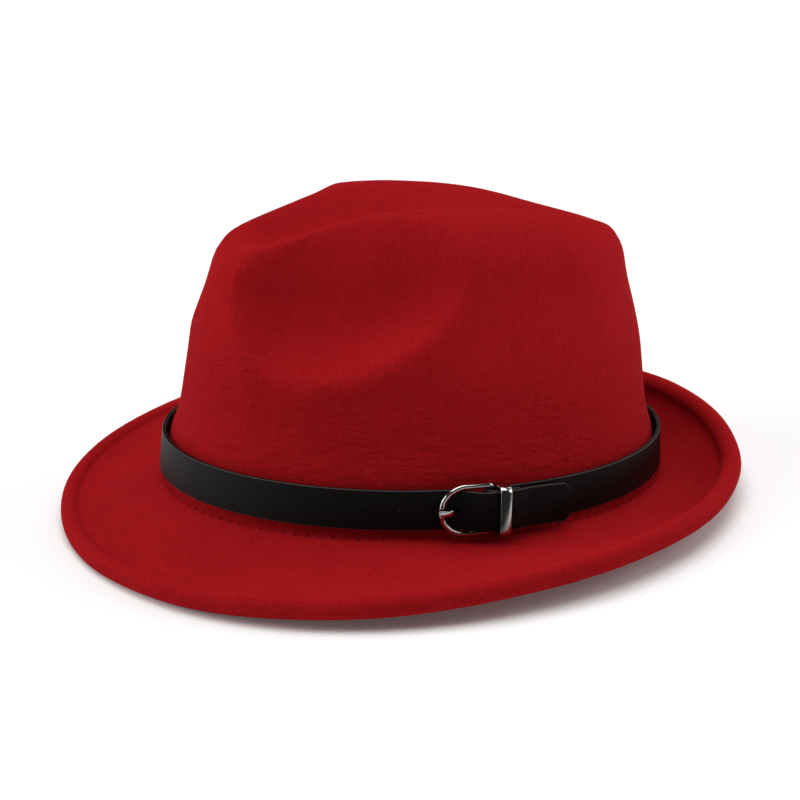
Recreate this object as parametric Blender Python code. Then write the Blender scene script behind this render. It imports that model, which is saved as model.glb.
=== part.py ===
"""A short-brimmed felt fedora with a creased, pinched crown and a buckled leather belt for its band.

All lengths are in metres. The hat faces -Y, its wearer's left side is +X, and it rests on z = 0.
Shapes are worked out in the hat's own frame, whose z = 0 is the level where crown and brim meet.
The empty hat_frame then tips and lifts them to the way the hat rests.
"""

import math

import bmesh
import bpy
import numpy as np
from mathutils import Matrix

# Felt
FELT = 0.0020  # thickness of the felt, crown and brim alike
BREAK_RADIUS = 0.0020  # rounding between crown and brim
REST_FLAT = 0.0010  # how far the soft felt is flattened where it rests

# Crown
CROWN_HALF_LENGTH = 0.1008
CROWN_HALF_WIDTH = 0.0855
CROWN_HEIGHT = 0.1085
CREASE_DEPTH = 0.0130  # the long dent along the top
CREASE_FRONT_HALF_WIDTH = 0.0225
CREASE_BACK_HALF_WIDTH = 0.0463
CREASE_FRONT_END = 0.95  # where the crease runs out, as shares of the crown's half length
CREASE_BACK_END = 1.085
CREASE_FRONT_FADE = 0.347  # how long it takes to run out, as shares of the same
CREASE_BACK_FADE = 0.694
CREASE_SIDE_START = 0.60  # shares of the crown's height between which its sides turn into the crease
CREASE_SIDE_END = 0.95
PINCH_DEPTH = 0.0132  # the two dents at the front
PINCH_LEAN = 16.0  # how far they are pressed down rather than in, in degrees
PINCH_FLATNESS = 3.2  # powers that give a pinch its wide floor and its soft edge
PINCH_SOFTNESS = 1.4
PINCH_LIP = 0.0011  # how far the felt bulges below a pinch
PINCH_LIP_PLACE = 1.06  # where it bulges and how widely, as shares of the pinch's own size
PINCH_LIP_WIDTH = 0.17
PINCH_LIP_TOP = 0.6  # how far up the pinch's sides the bulge climbs, as a share of the same
PINCH_REACH = 0.55  # how deep into the crown a pinch is felt, as a share of its half width

# Brim, with the outline of its rim
RIM_HALF_LENGTH = 0.1343
RIM_HALF_WIDTH = 0.1324
RIM_FORWARD = 0.0063  # the rim's middle lies this far in front of the crown's
RIM_FULLNESS = 0.021  # how far the rim's outline bulges between its four ends
BRIM_SWEEP = 0.0332  # from the low front of the brim to its high back
ROLL_DIAMETER = 0.0078  # of the felt's rolled edge
ROLL_START = 140.0  # where it leaves the upper face, in degrees round it from its outermost line
ROLL_END = -110.0  # where it comes back to the lower face
ROLL_GROOVE = 0.0026  # how far in from the roll the faces begin to turn into it

# Belt
BELT_WIDTH = 0.0146
BELT_THICKNESS = 0.0015
BELT_LIFT = 0.0030  # from the level where crown and brim meet to the belt's lower edge
BELT_EASE = 0.0020  # between the crown and the belt's inner face
GAP = 0.0003  # between pieces that touch
FREE_END = 0.0312  # from the buckle's bar to the belt's tip
FREE_END_DROOP = 0.0012
TIP_CHAMFER = 0.0026
TAIL = 0.0100  # the short end that is folded round the bar
HOLE_DIAMETER = 0.0018
HOLE_SPACING = 0.0104
HOLE_COUNT = 5
HOLES_BEFORE_PRONG = 3  # holes between the prong's own hole and the front of the hat
PRONG_HOLE_DIAMETER = 0.0038

# Buckle
BUCKLE_DIRECTION = 78.1  # of its bar, in degrees from the front towards the wearer's left
BUCKLE_LENGTH = 0.0191  # from the bar's middle to the round end's outside
BUCKLE_HEIGHT = 0.0192
BUCKLE_RISE = 0.0010  # how much further out its round end lies than its bar
PRONG_HOLE_PLACE = 0.0119  # of the prong's own hole, from the bar towards the front
WIRE = 0.0019
BAR = 0.0016  # the bar that the belt is folded round is a little thinner than the rest
PRONG_WIDTH = 0.0020
PRONG_THICKNESS = 0.0012
PRONG_EYE_WALL = 0.0010
EYE_START = 160.0  # the open eye's two ends, in degrees round the bar
EYE_END = -132.0
KEEPER_PLACE = 0.0034  # from the bar's middle to the keeper's
KEEPER_WIDTH = 0.0040
KEEPER_HEIGHT = 0.0181
KEEPER_WALL = 0.0009
KEEPER_SEAT = 0.0008  # between the crown and the keeper's back
KEEPER_DOME = 0.0005
KEEPER_CORNER = 0.0020

# Crown sections: share of the crown's height, of its half length, of its half width, and how much
# narrower the front is than the middle
CROWN_SECTIONS = (
    (0.000, 1.000, 1.000, 0.02),
    (0.140, 0.993, 0.995, 0.02),
    (0.270, 0.953, 0.952, 0.03),
    (0.514, 0.924, 0.872, 0.05),
    (0.728, 0.875, 0.751, 0.09),
    (0.883, 0.834, 0.673, 0.13),
    (0.971, 0.734, 0.539, 0.16),
    (1.000, 0.370, 0.376, 0.16),
    (1.000, 0.000, 0.000, 0.16),
)
# Line of the top: share of the half length from the middle, share of the crown's height
TOP_LINE = (
    (-0.80, 0.964),
    (-0.40, 1.003),
    (0.00, 0.996),
    (0.40, 0.972),
    (0.80, 0.961),
)
# Brim by direction: degrees from the front, rise as a share of the brim's sweep, slope where it
# leaves the crown and slope where the roll begins, both in degrees, and how far the roll stands
# above the brim's upper face as a share of its diameter
BRIM_SECTIONS = (
    (0.0, -0.474, -31.0, -15.0, 0.20),
    (45.0, -0.305, -25.0, 6.0, 0.20),
    (90.0, 0.030, -18.0, 15.0, 0.28),
    (135.0, 0.207, -12.0, 37.0, 0.40),
    (180.0, 0.398, -6.0, 61.0, 0.44),
)
# Pinches: name, degrees from the front, share of the crown's height, degrees that it climbs towards
# the wearer's left, half width as a share of the crown's half length, half height above and below
# as shares of the crown's height, depth as a share of the pinch depth
PINCHES = (
    ("left pinch", 48.0, 0.765, 26.0, 0.45, 0.36, 0.28, 1.0),
    ("right pinch", -52.0, 0.775, -23.0, 0.40, 0.36, 0.27, 0.95),
)
# Belt between the front of the hat and the bar: distance from the bar as a share of the buckle's
# length, share of the climb from the crown to the top of the fold
STRAP_CLIMB = (
    (-1.20, 0.00),
    (-0.85, 0.00),
    (-0.72, 0.05),
    (-0.60, 0.20),
    (-0.41, 0.62),
    (-0.20, 0.97),
    (-0.10, 1.00),
    (0.00, 1.00),
)
# Free end of the belt beyond the keeper: distance from the bar as a share of the free end's length,
# drop towards the crown in layers of leather
FREE_END_DROP = (
    (0.50, 1.0),
    (0.75, 1.2),
    (1.00, 1.0),
)
TAIL_DROP = 0.45  # the folded tail's, in layers too
# Prong: distance from the bar as a share of the buckle's length, share of the way from the crown
# to where the tip lies on the round end
PRONG_PATH = (
    (-0.14, 0.12),
    (-0.28, 0.05),
    (-0.45, 0.02),
    (-0.54, 0.02),
    (-0.585, 0.08),
    (-0.62, 0.21),
    (-0.675, 0.46),
    (-0.735, 0.72),
    (-0.81, 0.93),
    (-0.90, 1.00),
    (-0.995, 1.00),
)

# How finely the shapes are cut up
DIRECTIONS = 64
END_CROWDING = 0.30  # how much closer the directions lie at the front and the back than evenly
CROWN_STEPS = (1, 1, 3, 3, 3, 3, 4, 3)  # rings in each stretch of the crown's table, base first
FILLET_STEPS = 3
BRIM_STEPS = 5
GROOVE_STEPS = 2
ROLL_STEPS = 9
BELT_STEPS = 90  # stretches of the belt round the crown, apart from the buckle's neighbourhood
NEAR_BUCKLE_STEPS = 12  # and in each shorter run beside the buckle
FOLD_STEPS = 8
HOLE_SIDES = 12
WIRE_SIDES = 8
ARCH_STEPS = 16  # round the buckle's end
EYE_STEPS = 10
KEEPER_STEPS = 4

SMOOTH_ANGLE = math.radians(40.0)


def eased(share):
    """Ease from 0 to 1, level at both ends."""
    share = np.clip(share, 0.0, 1.0)
    return share * share * (3.0 - 2.0 * share)


def through_rows(rows, places, mirrored=False):
    """Columns of a table on a smooth curve through its rows. Place 1.5 is halfway from row 1 to row 2."""
    rows = np.array(rows, float)
    first, last = (rows[1], rows[-2]) if mirrored else (2 * rows[0] - rows[1], 2 * rows[-1] - rows[-2])
    rows = np.vstack([first, rows, last])
    places = np.asarray(places, float)
    step = np.clip(places.astype(int), 0, len(rows) - 4)
    t = (places - step)[:, None]
    before, start, end, after = (rows[step + k] for k in range(4))
    return 0.5 * (
        2 * start
        + (end - before) * t
        + (2 * before - 5 * start + 4 * end - after) * t**2
        + (3 * start - before - 3 * end + after) * t**3
    )


def read_column(rows, values):
    """Other columns of a table at values of its first column, which rises."""
    first = [row[0] for row in rows]
    places = np.interp(np.ravel(values), first, range(len(rows)))
    return through_rows(rows, places)[:, 1:]


def oval(directions, fullness=0.0, narrowing=0.0):
    """Shares across and along an egg-shaped outline. Direction 0 is the front, -Y."""
    c, s = np.cos(directions), np.sin(directions)
    along = -c * (1.0 + fullness * s * s)
    across = s * (1.0 + fullness * c * c) * (1.0 + narrowing * along)
    return across, along


def outward(x, y):
    """Level unit vectors that point out of a closed outline of evenly turned points."""
    turn_x = np.roll(x, -1) - np.roll(x, 1)
    turn_y = np.roll(y, -1) - np.roll(y, 1)
    size = np.hypot(turn_x, turn_y)
    return turn_y / size, -turn_x / size


def crown_place(height):
    """Place in the crown's table at a share of the crown's height."""
    sides = CROWN_SECTIONS[:-1]
    return np.interp(height, [row[0] for row in sides], range(len(sides)))


def plain_crown(directions, places):
    """Crown with its long crease but no pinches, as an array of ring, direction and x, y, z."""
    table = through_rows(CROWN_SECTIONS, places)
    height, length, width, narrowing = (table[:, k][:, None] for k in range(4))
    across, along = oval(directions, narrowing=narrowing)
    x = CROWN_HALF_WIDTH * width * across
    share_y = length * along
    front, back = TOP_LINE[0][0], TOP_LINE[-1][0]
    top = read_column(TOP_LINE, np.clip(share_y, front, back))[:, 0].reshape(share_y.shape)
    z = CROWN_HEIGHT * height * top
    toward_back = np.clip((share_y - front) / (back - front), 0.0, None)
    half_width = CREASE_FRONT_HALF_WIDTH + (CREASE_BACK_HALF_WIDTH - CREASE_FRONT_HALF_WIDTH) * toward_back
    across_crease = np.clip(np.abs(x) / half_width, 0.0, 1.0)
    front_fade = eased((share_y + CREASE_FRONT_END) / CREASE_FRONT_FADE)
    back_fade = eased((CREASE_BACK_END - share_y) / CREASE_BACK_FADE)
    side_fade = eased((height - CREASE_SIDE_START) / (CREASE_SIDE_END - CREASE_SIDE_START))
    z = z - CREASE_DEPTH * (1.0 - across_crease**2) ** 2 * front_fade * back_fade * side_fade
    return np.stack([x, CROWN_HALF_LENGTH * share_y, z], axis=-1)


def pinch(points, direction, height, climb, half_width, above, below, depth):
    """Push one soft dent into the crown."""
    angle = math.radians(direction)
    centre = plain_crown(np.array([angle]), [crown_place(height)])[0, 0]
    tilt = math.radians(PINCH_LEAN)
    out = np.array([math.sin(angle) * math.cos(tilt), -math.cos(angle) * math.cos(tilt), math.sin(tilt)])
    level_side = np.array([math.cos(angle), math.sin(angle), 0.0])
    turn = math.radians(climb)
    side = level_side * math.cos(turn) + np.cross(out, level_side) * math.sin(turn)
    up = np.cross(out, side)
    offset = points - centre
    level = offset @ up
    reach = np.where(level > 0.0, above, below) * CROWN_HEIGHT
    distance = np.hypot((offset @ side) / (half_width * CROWN_HALF_LENGTH), level / reach)
    bowl = (1.0 - np.clip(distance, 0.0, 1.0) ** PINCH_FLATNESS) ** PINCH_SOFTNESS
    near = eased(1.0 + (offset @ out) / (PINCH_REACH * CROWN_HALF_WIDTH))
    off_lip = (distance - PINCH_LIP_PLACE) / PINCH_LIP_WIDTH
    lip = np.exp(-(off_lip**2)) * eased(PINCH_LIP_TOP - level / reach)
    move = PINCH_LIP * lip - PINCH_DEPTH * bowl
    return points + (depth * near * move)[..., None] * out


def crown(directions, places):
    points = plain_crown(directions, places)
    for _name, *shape in PINCHES:
        points = pinch(points, *shape)
    return points


def brim_form(directions):
    """What the brim needs by direction: where it and its roll start, its slopes, how far the roll
    stands up, and the way out."""
    turned = np.degrees(np.arccos(np.cos(directions)))
    places = np.interp(turned, [row[0] for row in BRIM_SECTIONS], range(len(BRIM_SECTIONS)))
    table = through_rows(BRIM_SECTIONS, places, mirrored=True)
    rise = BRIM_SWEEP * table[:, 1]
    start_slope, end_slope = np.radians(table[:, 2]), np.radians(table[:, 3])
    across, along = oval(directions, fullness=RIM_FULLNESS)
    rim_x, rim_y = RIM_HALF_WIDTH * across, RIM_HALF_LENGTH * along - RIM_FORWARD
    out_x, out_y = outward(rim_x, rim_y)
    stand = ROLL_DIAMETER * table[:, 4]
    radius = ROLL_DIAMETER / 2
    reach = radius * (1.0 + np.cos(end_slope)) - (stand - radius) * np.sin(end_slope)
    fold = np.stack([rim_x - reach * out_x, rim_y - reach * out_y, rise], axis=-1)
    root = crown(directions, [0.0])[0]
    return root, fold, start_slope, end_slope, stand, out_x, out_y


def brim_surface(root, fold, start_slope, end_slope, share):
    """Points of the brim's top at a share of the way from the crown to the roll."""
    run = np.hypot(fold[:, 0] - root[:, 0], fold[:, 1] - root[:, 1])
    plan = root[:, :2] + (fold[:, :2] - root[:, :2]) * share[:, None]
    s = share
    rise = fold[:, 2] - root[:, 2]
    z = (
        root[:, 2]
        + rise * (3 * s**2 - 2 * s**3)
        + run * np.tan(start_slope) * (s**3 - 2 * s**2 + s)
        + run * np.tan(end_slope) * (s**3 - s**2)
    )
    return np.column_stack([plan, z])


def corner(start, middle, end, share):
    """Point on a rounded corner between two lines that meet at the middle."""
    return start * (1 - share) ** 2 + middle * 2 * share * (1 - share) + end * share**2


def felt_top(directions, crown_steps, fillet_steps, brim_steps):
    """Rings of the felt's upper face, from the middle of the crown out to the groove of the roll."""
    places = [0.0]
    for row, steps in enumerate(crown_steps):
        places += [row + (k + 1) / steps for k in range(steps)]
    fillet_place = crown_place(BREAK_RADIUS / CROWN_HEIGHT)
    places = [fillet_place] + [place for place in places if place > 2.0 * fillet_place]
    rings = list(crown(directions, places[::-1]))
    root, fold, start_slope, end_slope, *_ = brim_form(directions)
    run = np.hypot(fold[:, 0] - root[:, 0], fold[:, 1] - root[:, 1])
    inner_share, outer_share = BREAK_RADIUS / run, 1.0 - ROLL_GROOVE / run
    shares = [inner_share + (outer_share - inner_share) * k / brim_steps for k in range(brim_steps + 1)]
    brim = [brim_surface(root, fold, start_slope, end_slope, share) for share in shares]
    rings += [corner(rings[-1], root, brim[0], k / fillet_steps) for k in range(1, fillet_steps)]
    return np.array(rings + brim)


def roll_point(turn, stand, beyond=0.0):
    """Place on the roll's section, out from the groove and up from the brim's upper face, or beyond it
    on the straight line that touches it there."""
    radius = ROLL_DIAMETER / 2
    out = radius * (1.0 + math.cos(turn)) - beyond * math.sin(turn)
    up = stand - radius * (1.0 - math.sin(turn)) + beyond * math.cos(turn)
    return out, up


def roll_meets(turn, stand, level):
    """Where the line that touches the roll's section at a turn comes to a level."""
    up = roll_point(turn, stand)[1]
    return roll_point(turn, stand, (level - up) / math.cos(turn))


def sheet_normals(rings):
    """Unit normals of a grid of rings. The first ring is one point, repeated."""
    around = np.roll(rings, -1, axis=1) - np.roll(rings, 1, axis=1)
    outwards = np.gradient(rings, axis=0)
    normals = np.cross(outwards, around)
    normals[0] = normals[1].mean(axis=0)
    return normals / np.linalg.norm(normals, axis=-1, keepdims=True)


def felt_rings(directions, crown_steps, fillet_steps, brim_steps, groove_steps, roll_steps):
    """Closed sheet of felt: its upper face out to the rim, over the rolled rim, and back under it."""
    top = felt_top(directions, crown_steps, fillet_steps, brim_steps)
    under = top - sheet_normals(top) * FELT
    _, fold, _, slope, stand, out_x, out_y = brim_form(directions)
    along = np.stack([out_x * np.cos(slope), out_y * np.cos(slope), np.sin(slope)], axis=-1)
    above = np.stack([-out_x * np.sin(slope), -out_y * np.sin(slope), np.cos(slope)], axis=-1)
    turns = np.radians(np.linspace(ROLL_START, ROLL_END, roll_steps + 1))
    stand = stand[:, None]
    places = [roll_point(turn, stand) for turn in turns]
    places = [roll_meets(turns[0], stand, 0.0), *places, roll_meets(turns[-1], stand, -FELT)]
    groove, *roll, foot = [fold + along * out + above * up for out, up in places]
    shares = [k / groove_steps for k in range(1, groove_steps)]
    into = [corner(top[-1], groove, roll[0], share) for share in shares]
    back = [corner(roll[-1], foot, under[-1], share) for share in shares]
    return np.concatenate([top, into + roll + back, under[::-1]])


def rest_pose(points):
    """Tip that sets both the front and the back of the hat on the same level, and that level."""
    y, z = points[..., 1].ravel(), points[..., 2].ravel()
    low, high = math.radians(-20.0), math.radians(20.0)
    for _ in range(40):
        tip = (low + high) / 2
        tipped = z * math.cos(tip) + y * math.sin(tip)
        if tipped[y < 0].min() > tipped[y >= 0].min():
            low = tip
        else:
            high = tip
    return tip, tipped.min()


def placing(points):
    """Matrix from the hat's own frame to the world, where the hat rests on z = 0 about the origin."""
    tip, floor = rest_pose(points)
    turned = Matrix.Rotation(tip, 4, "X")
    y = points[..., 1] * math.cos(tip) - points[..., 2] * math.sin(tip)
    shift = Matrix.Translation((0.0, -(y.min() + y.max()) / 2, -floor - REST_FLAT))
    return shift @ turned


def flattened(points, place):
    """Points with whatever would reach under the floor laid flat on it."""
    matrix = np.array(place)
    world = points @ matrix[:3, :3].T + matrix[:3, 3]
    world[..., 2] = np.maximum(world[..., 2], 0.0)
    return (world - matrix[:3, 3]) @ matrix[:3, :3]


class Belt:
    """Turns places on the belt into places in the hat's frame.

    distance runs round the crown from the buckle's bar, growing towards the back of the hat.
    level is how far out of the crown's side a point lies, and height how far above the belt's middle.
    """

    def __init__(self):
        self.middle = BELT_LIFT + BELT_WIDTH / 2
        turns = np.radians(np.arange(0.0, 360.5, 0.5))
        edges = np.array([BELT_LIFT, BELT_LIFT + BELT_WIDTH]) / CROWN_HEIGHT
        low, high = crown(turns, crown_place(edges))[..., :2]
        line = (low + high) / 2
        steps = np.linalg.norm(np.diff(line, axis=0), axis=1)
        self.travel = np.concatenate([[0.0], np.cumsum(steps)])
        self.round = self.travel[-1]
        self.start = np.interp(math.radians(BUCKLE_DIRECTION), turns, self.travel)
        out = np.array(outward(line[:-1, 0], line[:-1, 1]))
        self.columns = np.vstack([line.T, (high - low).T / BELT_WIDTH, np.hstack([out, out[:, :1]])])

    def point(self, distance, level, height):
        along = (self.start + distance) % self.round
        here = [np.interp(along, self.travel, column) for column in self.columns]
        x, y, lean_x, lean_y, out_x, out_y = here
        return np.array([
            x + lean_x * height + out_x * level,
            y + lean_y * height + out_y * level,
            self.middle + height,
        ])


LAYER = BELT_THICKNESS + GAP
ON_CROWN = BELT_EASE + BELT_THICKNESS / 2
FOLD_RADIUS = BAR / 2 + GAP + BELT_THICKNESS / 2
BAR_LEVEL = ON_CROWN + FOLD_RADIUS
OVER_BAR = BAR_LEVEL + FOLD_RADIUS
OVER_FOLD = OVER_BAR + LAYER
IN_KEEPER = KEEPER_SEAT + KEEPER_WALL + GAP + BELT_THICKNESS / 2
KEEPER_START = KEEPER_PLACE - KEEPER_WIDTH / 2 - GAP
KEEPER_END = KEEPER_PLACE + KEEPER_WIDTH / 2 + GAP


def belt_path(belt):
    """Middle line of the belt as distance and level: tail, fold, once round the crown, free end."""
    tail_rows = [(KEEPER_END, OVER_BAR), (TAIL, OVER_BAR - TAIL_DROP * LAYER)]
    path = [(d, level(tail_rows, d)) for d in np.linspace(TAIL, 0.0, NEAR_BUCKLE_STEPS + 1)]
    for k in range(1, FOLD_STEPS):
        turn = math.pi * k / FOLD_STEPS
        path.append((-FOLD_RADIUS * math.sin(turn), BAR_LEVEL + FOLD_RADIUS * math.cos(turn)))
    settled = KEEPER_END + BELT_WIDTH / 2
    in_keeper = [(KEEPER_START, IN_KEEPER), (KEEPER_END, IN_KEEPER)]
    under_rows = [(BAR / 4, ON_CROWN), *in_keeper, (settled, ON_CROWN)]
    path += [(d, level(under_rows, d)) for d in np.linspace(0.0, settled, NEAR_BUCKLE_STEPS + 1)]
    climb_start = STRAP_CLIMB[0][0] * BUCKLE_LENGTH
    plain = np.linspace(settled, belt.round + climb_start, BELT_STEPS)
    path += [(d, ON_CROWN) for d in plain[1:-1]]
    climb = [(share * BUCKLE_LENGTH, ON_CROWN + rise * (OVER_FOLD - ON_CROWN)) for share, rise in STRAP_CLIMB]
    free_end = [(share * FREE_END, OVER_FOLD - layers * LAYER) for share, layers in FREE_END_DROP]
    free_rows = climb + [(KEEPER_END, OVER_FOLD)] + free_end
    distances = np.concatenate([
        np.linspace(climb_start, 0.0, NEAR_BUCKLE_STEPS + 1),
        np.linspace(0.0, KEEPER_END, NEAR_BUCKLE_STEPS // 2 + 1)[1:],
        np.linspace(KEEPER_END, FREE_END - TIP_CHAMFER, NEAR_BUCKLE_STEPS - 3)[1:],
        [FREE_END],
    ])
    return path + [(belt.round + d, level(free_rows, d)) for d in distances]


def level(rows, distance):
    """Level at a distance, on a smooth line that never passes beyond its rows."""
    for (start, low), (end, high) in zip(rows, rows[1:], strict=False):
        if distance <= end:
            return low + (high - low) * float(eased((distance - start) / (end - start)))
    return rows[-1][1]


def across_line(line):
    """Unit vectors square to a flat open line at each of its points."""
    way = np.diff(line, axis=0)
    way = way / np.linalg.norm(way, axis=1, keepdims=True)
    way = np.vstack([way[:1], way[:-1] + way[1:], way[-1:]])
    way = way / np.linalg.norm(way, axis=1, keepdims=True)
    return np.stack([way[:, 1], -way[:, 0]], axis=1)


def clear_scene():
    for thing in list(bpy.data.objects):
        bpy.data.objects.remove(thing, do_unlink=True)


def make_material(name, colour, roughness, metallic):
    material = bpy.data.materials.new(name)
    material.use_nodes = True
    shader = material.node_tree.nodes["Principled BSDF"]
    shader.inputs["Base Color"].default_value = (*colour, 1.0)
    shader.inputs["Roughness"].default_value = roughness
    shader.inputs["Metallic"].default_value = metallic
    return material


def make_object(name, points, faces, material, parent):
    """Object from points and faces, its faces turned outwards and its round sides shaded smooth."""
    mesh = bpy.data.meshes.new(name)
    mesh.from_pydata([tuple(point) for point in points], [], faces)
    work = bmesh.new()
    work.from_mesh(mesh)
    bmesh.ops.recalc_face_normals(work, faces=work.faces)
    if work.calc_volume(signed=True) < 0.0:
        bmesh.ops.reverse_faces(work, faces=work.faces)
    work.to_mesh(mesh)
    work.free()
    mesh.shade_smooth()
    mesh.set_sharp_from_angle(angle=SMOOTH_ANGLE)
    thing = bpy.data.objects.new(name, mesh)
    bpy.context.scene.collection.objects.link(thing)
    thing.parent = parent
    if material:
        mesh.materials.append(material)
    return thing


def ring_faces(count, size, looped=False):
    """Quads between neighbouring rings, closed by two caps or by going round."""
    faces = []
    for ring in range(count if looped else count - 1):
        here, there = ring * size, (ring + 1) % count * size
        for k in range(size):
            after = (k + 1) % size
            faces.append((here + k, here + after, there + after, there + k))
    if not looped:
        faces.append(tuple(range(size))[::-1])
        faces.append(tuple(range((count - 1) * size, count * size)))
    return faces


def make_hat_body(rings, material, parent):
    """The felt: one sheet, closed by a fan at the middle of the crown inside and outside."""
    size = rings.shape[1]
    middle = rings[1:-1]
    points = [rings[0, 0], *middle.reshape(-1, 3), rings[-1, 0]]
    faces = []
    for k in range(size):
        after = (k + 1) % size
        faces.append((0, 1 + k, 1 + after))
        last = 1 + (len(middle) - 1) * size
        faces.append((len(points) - 1, last + after, last + k))
    for ring in range(len(middle) - 1):
        here, there = 1 + ring * size, 1 + (ring + 1) * size
        for k in range(size):
            after = (k + 1) % size
            faces.append((here + k, here + after, there + after, there + k))
    return make_object("hat_body", points, faces, material, parent)


def make_belt_strap(belt, material, parent):
    """One ribbon of leather, folded round the bar at one end and chamfered at the other."""
    path = belt_path(belt)
    line = np.array([belt.point(d, r, 0.0)[:2] for d, r in path])
    side = across_line(line) * BELT_THICKNESS / 2
    points = []
    for k, (d, r) in enumerate(path):
        beyond = max(d - belt.round - KEEPER_END, 0.0) / (FREE_END - KEEPER_END)
        drop = FREE_END_DROOP * beyond**2
        half = BELT_WIDTH / 2 - (TIP_CHAMFER if k == len(path) - 1 else 0.0)
        for height in (-half, half):
            lean = belt.point(d, r, height)[:2] - line[k]
            low = [*(line[k] + lean - side[k]), belt.middle + height - drop]
            high = [*(line[k] + lean + side[k]), belt.middle + height - drop]
            points += [low, high] if height < 0 else [high, low]
    return make_object("belt_strap", points, ring_faces(len(path), 4), material, parent)


def make_cutter(name, belt, centre, size, sides, parent):
    """Upright cutter at a place on the belt: a drum if it has many sides, a box if it has four."""
    distance, low, high, height = centre
    points = []
    reach = 1 / math.cos(math.pi / sides) if sides == 4 else 1.0
    for r in (low, high):
        for k in range(sides):
            turn = 2 * math.pi * (k + 0.5) / sides
            along = distance + size[0] / 2 * reach * math.cos(turn)
            points.append(belt.point(along, r, height + size[1] / 2 * reach * math.sin(turn)))
    cutter = make_object(name, points, ring_faces(2, sides), None, parent)
    cutter.hide_render = True
    cutter.display_type = "WIRE"
    return cutter


def cut(thing, cutter):
    modifier = thing.modifiers.new(cutter.name, "BOOLEAN")
    modifier.operation = "DIFFERENCE"
    modifier.solver = "EXACT"
    modifier.object = cutter


def punch_belt(strap, belt, parent):
    """Punch the row of holes, and the slot that lets the prong's eye through the fold."""
    for k in range(HOLE_COUNT):
        distance = -PRONG_HOLE_PLACE + (k - HOLES_BEFORE_PRONG) * HOLE_SPACING
        beyond = k > HOLES_BEFORE_PRONG
        low = OVER_FOLD - LAYER / 2 if beyond else -BELT_THICKNESS
        wide = PRONG_HOLE_DIAMETER if k == HOLES_BEFORE_PRONG else HOLE_DIAMETER
        centre = (distance, low, OVER_FOLD + BELT_THICKNESS, 0.0)
        cut(strap, make_cutter(f"hole_cutter_{k + 1}", belt, centre, (wide, wide), HOLE_SIDES, parent))
    slot_length = 2 * (FOLD_RADIUS + BELT_THICKNESS / 2 + GAP)
    centre = (0.0, -BELT_THICKNESS, OVER_FOLD - BELT_THICKNESS / 2 - GAP / 2, 0.0)
    slot_size = (slot_length, PRONG_WIDTH + 2 * GAP)
    cut(strap, make_cutter("slot_cutter", belt, centre, slot_size, 4, parent))


def wire_rings(belt, path, radii):
    """Rings of a round wire along a closed path of distance, level and height."""
    path = np.array(path)
    way = np.roll(path, -1, axis=0) - np.roll(path, 1, axis=0)
    way = way / np.linalg.norm(way, axis=1, keepdims=True)
    points = []
    for k, centre in enumerate(path):
        out = np.array([0.0, 1.0, 0.0])
        side = np.cross(way[k], out)
        side = side / np.linalg.norm(side)
        out = np.cross(side, way[k])
        for turn in range(WIRE_SIDES):
            angle = 2 * math.pi * (turn + 0.5) / WIRE_SIDES
            offset = radii[k] * (math.cos(angle) * side + math.sin(angle) * out)
            points.append(belt.point(*(centre + offset)))
    return points


def make_buckle_frame(belt, material, parent):
    """D-shaped frame: a bar under the belt, two arms outside its edges and a round end over it."""
    half = (BUCKLE_HEIGHT - WIRE) / 2
    bend = half - BELT_WIDTH / 2 - GAP
    straight = BUCKLE_LENGTH - WIRE / 2 - half
    path = [(0.0, BAR_LEVEL, h) for h in np.linspace(-half + bend, half - bend, 5)]
    bar_points = len(path)
    path += [(-bend + bend * math.cos(a), BAR_LEVEL, half - bend + bend * math.sin(a)) for a in (0.52, 1.05)]
    path += [(d, BAR_LEVEL, half) for d in np.linspace(-bend, -straight, 4)]
    for k in range(1, ARCH_STEPS):
        turn = math.pi * k / ARCH_STEPS
        path.append((-straight - half * math.sin(turn), BAR_LEVEL, half * math.cos(turn)))
    path += [(d, BAR_LEVEL, -half) for d in np.linspace(-straight, -bend, 4)]
    path += [(-bend + bend * math.cos(a), BAR_LEVEL, -half + bend - bend * math.sin(a)) for a in (1.05, 0.52)]
    path = [(d, r - BUCKLE_RISE * d / BUCKLE_LENGTH, h) for d, r, h in path]
    radii = [BAR / 2 if k < bar_points else WIRE / 2 for k in range(len(path))]
    points = wire_rings(belt, path, radii)
    faces = ring_faces(len(path), WIRE_SIDES, looped=True)
    return make_object("buckle_frame", points, faces, material, parent)


def make_buckle_prong(belt, material, parent):
    """Flat prong: an open eye round the bar, then a tongue that passes up through its hole."""
    half = PRONG_THICKNESS / 2
    rest = BAR_LEVEL + BUCKLE_RISE + WIRE / 2 + GAP + half
    low = ON_CROWN - GAP
    eye = BAR / 2 + GAP + PRONG_EYE_WALL / 2
    path = []
    for k in range(EYE_STEPS + 1):
        turn = math.radians(EYE_START + (EYE_END - EYE_START) * k / EYE_STEPS)
        path.append((eye * math.cos(turn), BAR_LEVEL + eye * math.sin(turn), PRONG_EYE_WALL / 2))
    rows = [(share * BUCKLE_LENGTH, low + rise * (rest - low)) for share, rise in PRONG_PATH]
    smooth_rows = through_rows(rows, np.linspace(0.0, len(rows) - 1, ARCH_STEPS + 1))
    path += [(d, r, half) for d, r in smooth_rows]
    side = across_line(np.array([(d, r) for d, r, _ in path]))
    points = []
    for k, (d, r, thick) in enumerate(path):
        for across, height in ((-1, -1), (1, -1), (1, 1), (-1, 1)):
            offset = side[k] * thick * across
            points.append(belt.point(d + offset[0], r + offset[1], height * PRONG_WIDTH / 2))
    return make_object("buckle_prong", points, ring_faces(len(path), 4), material, parent)


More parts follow.
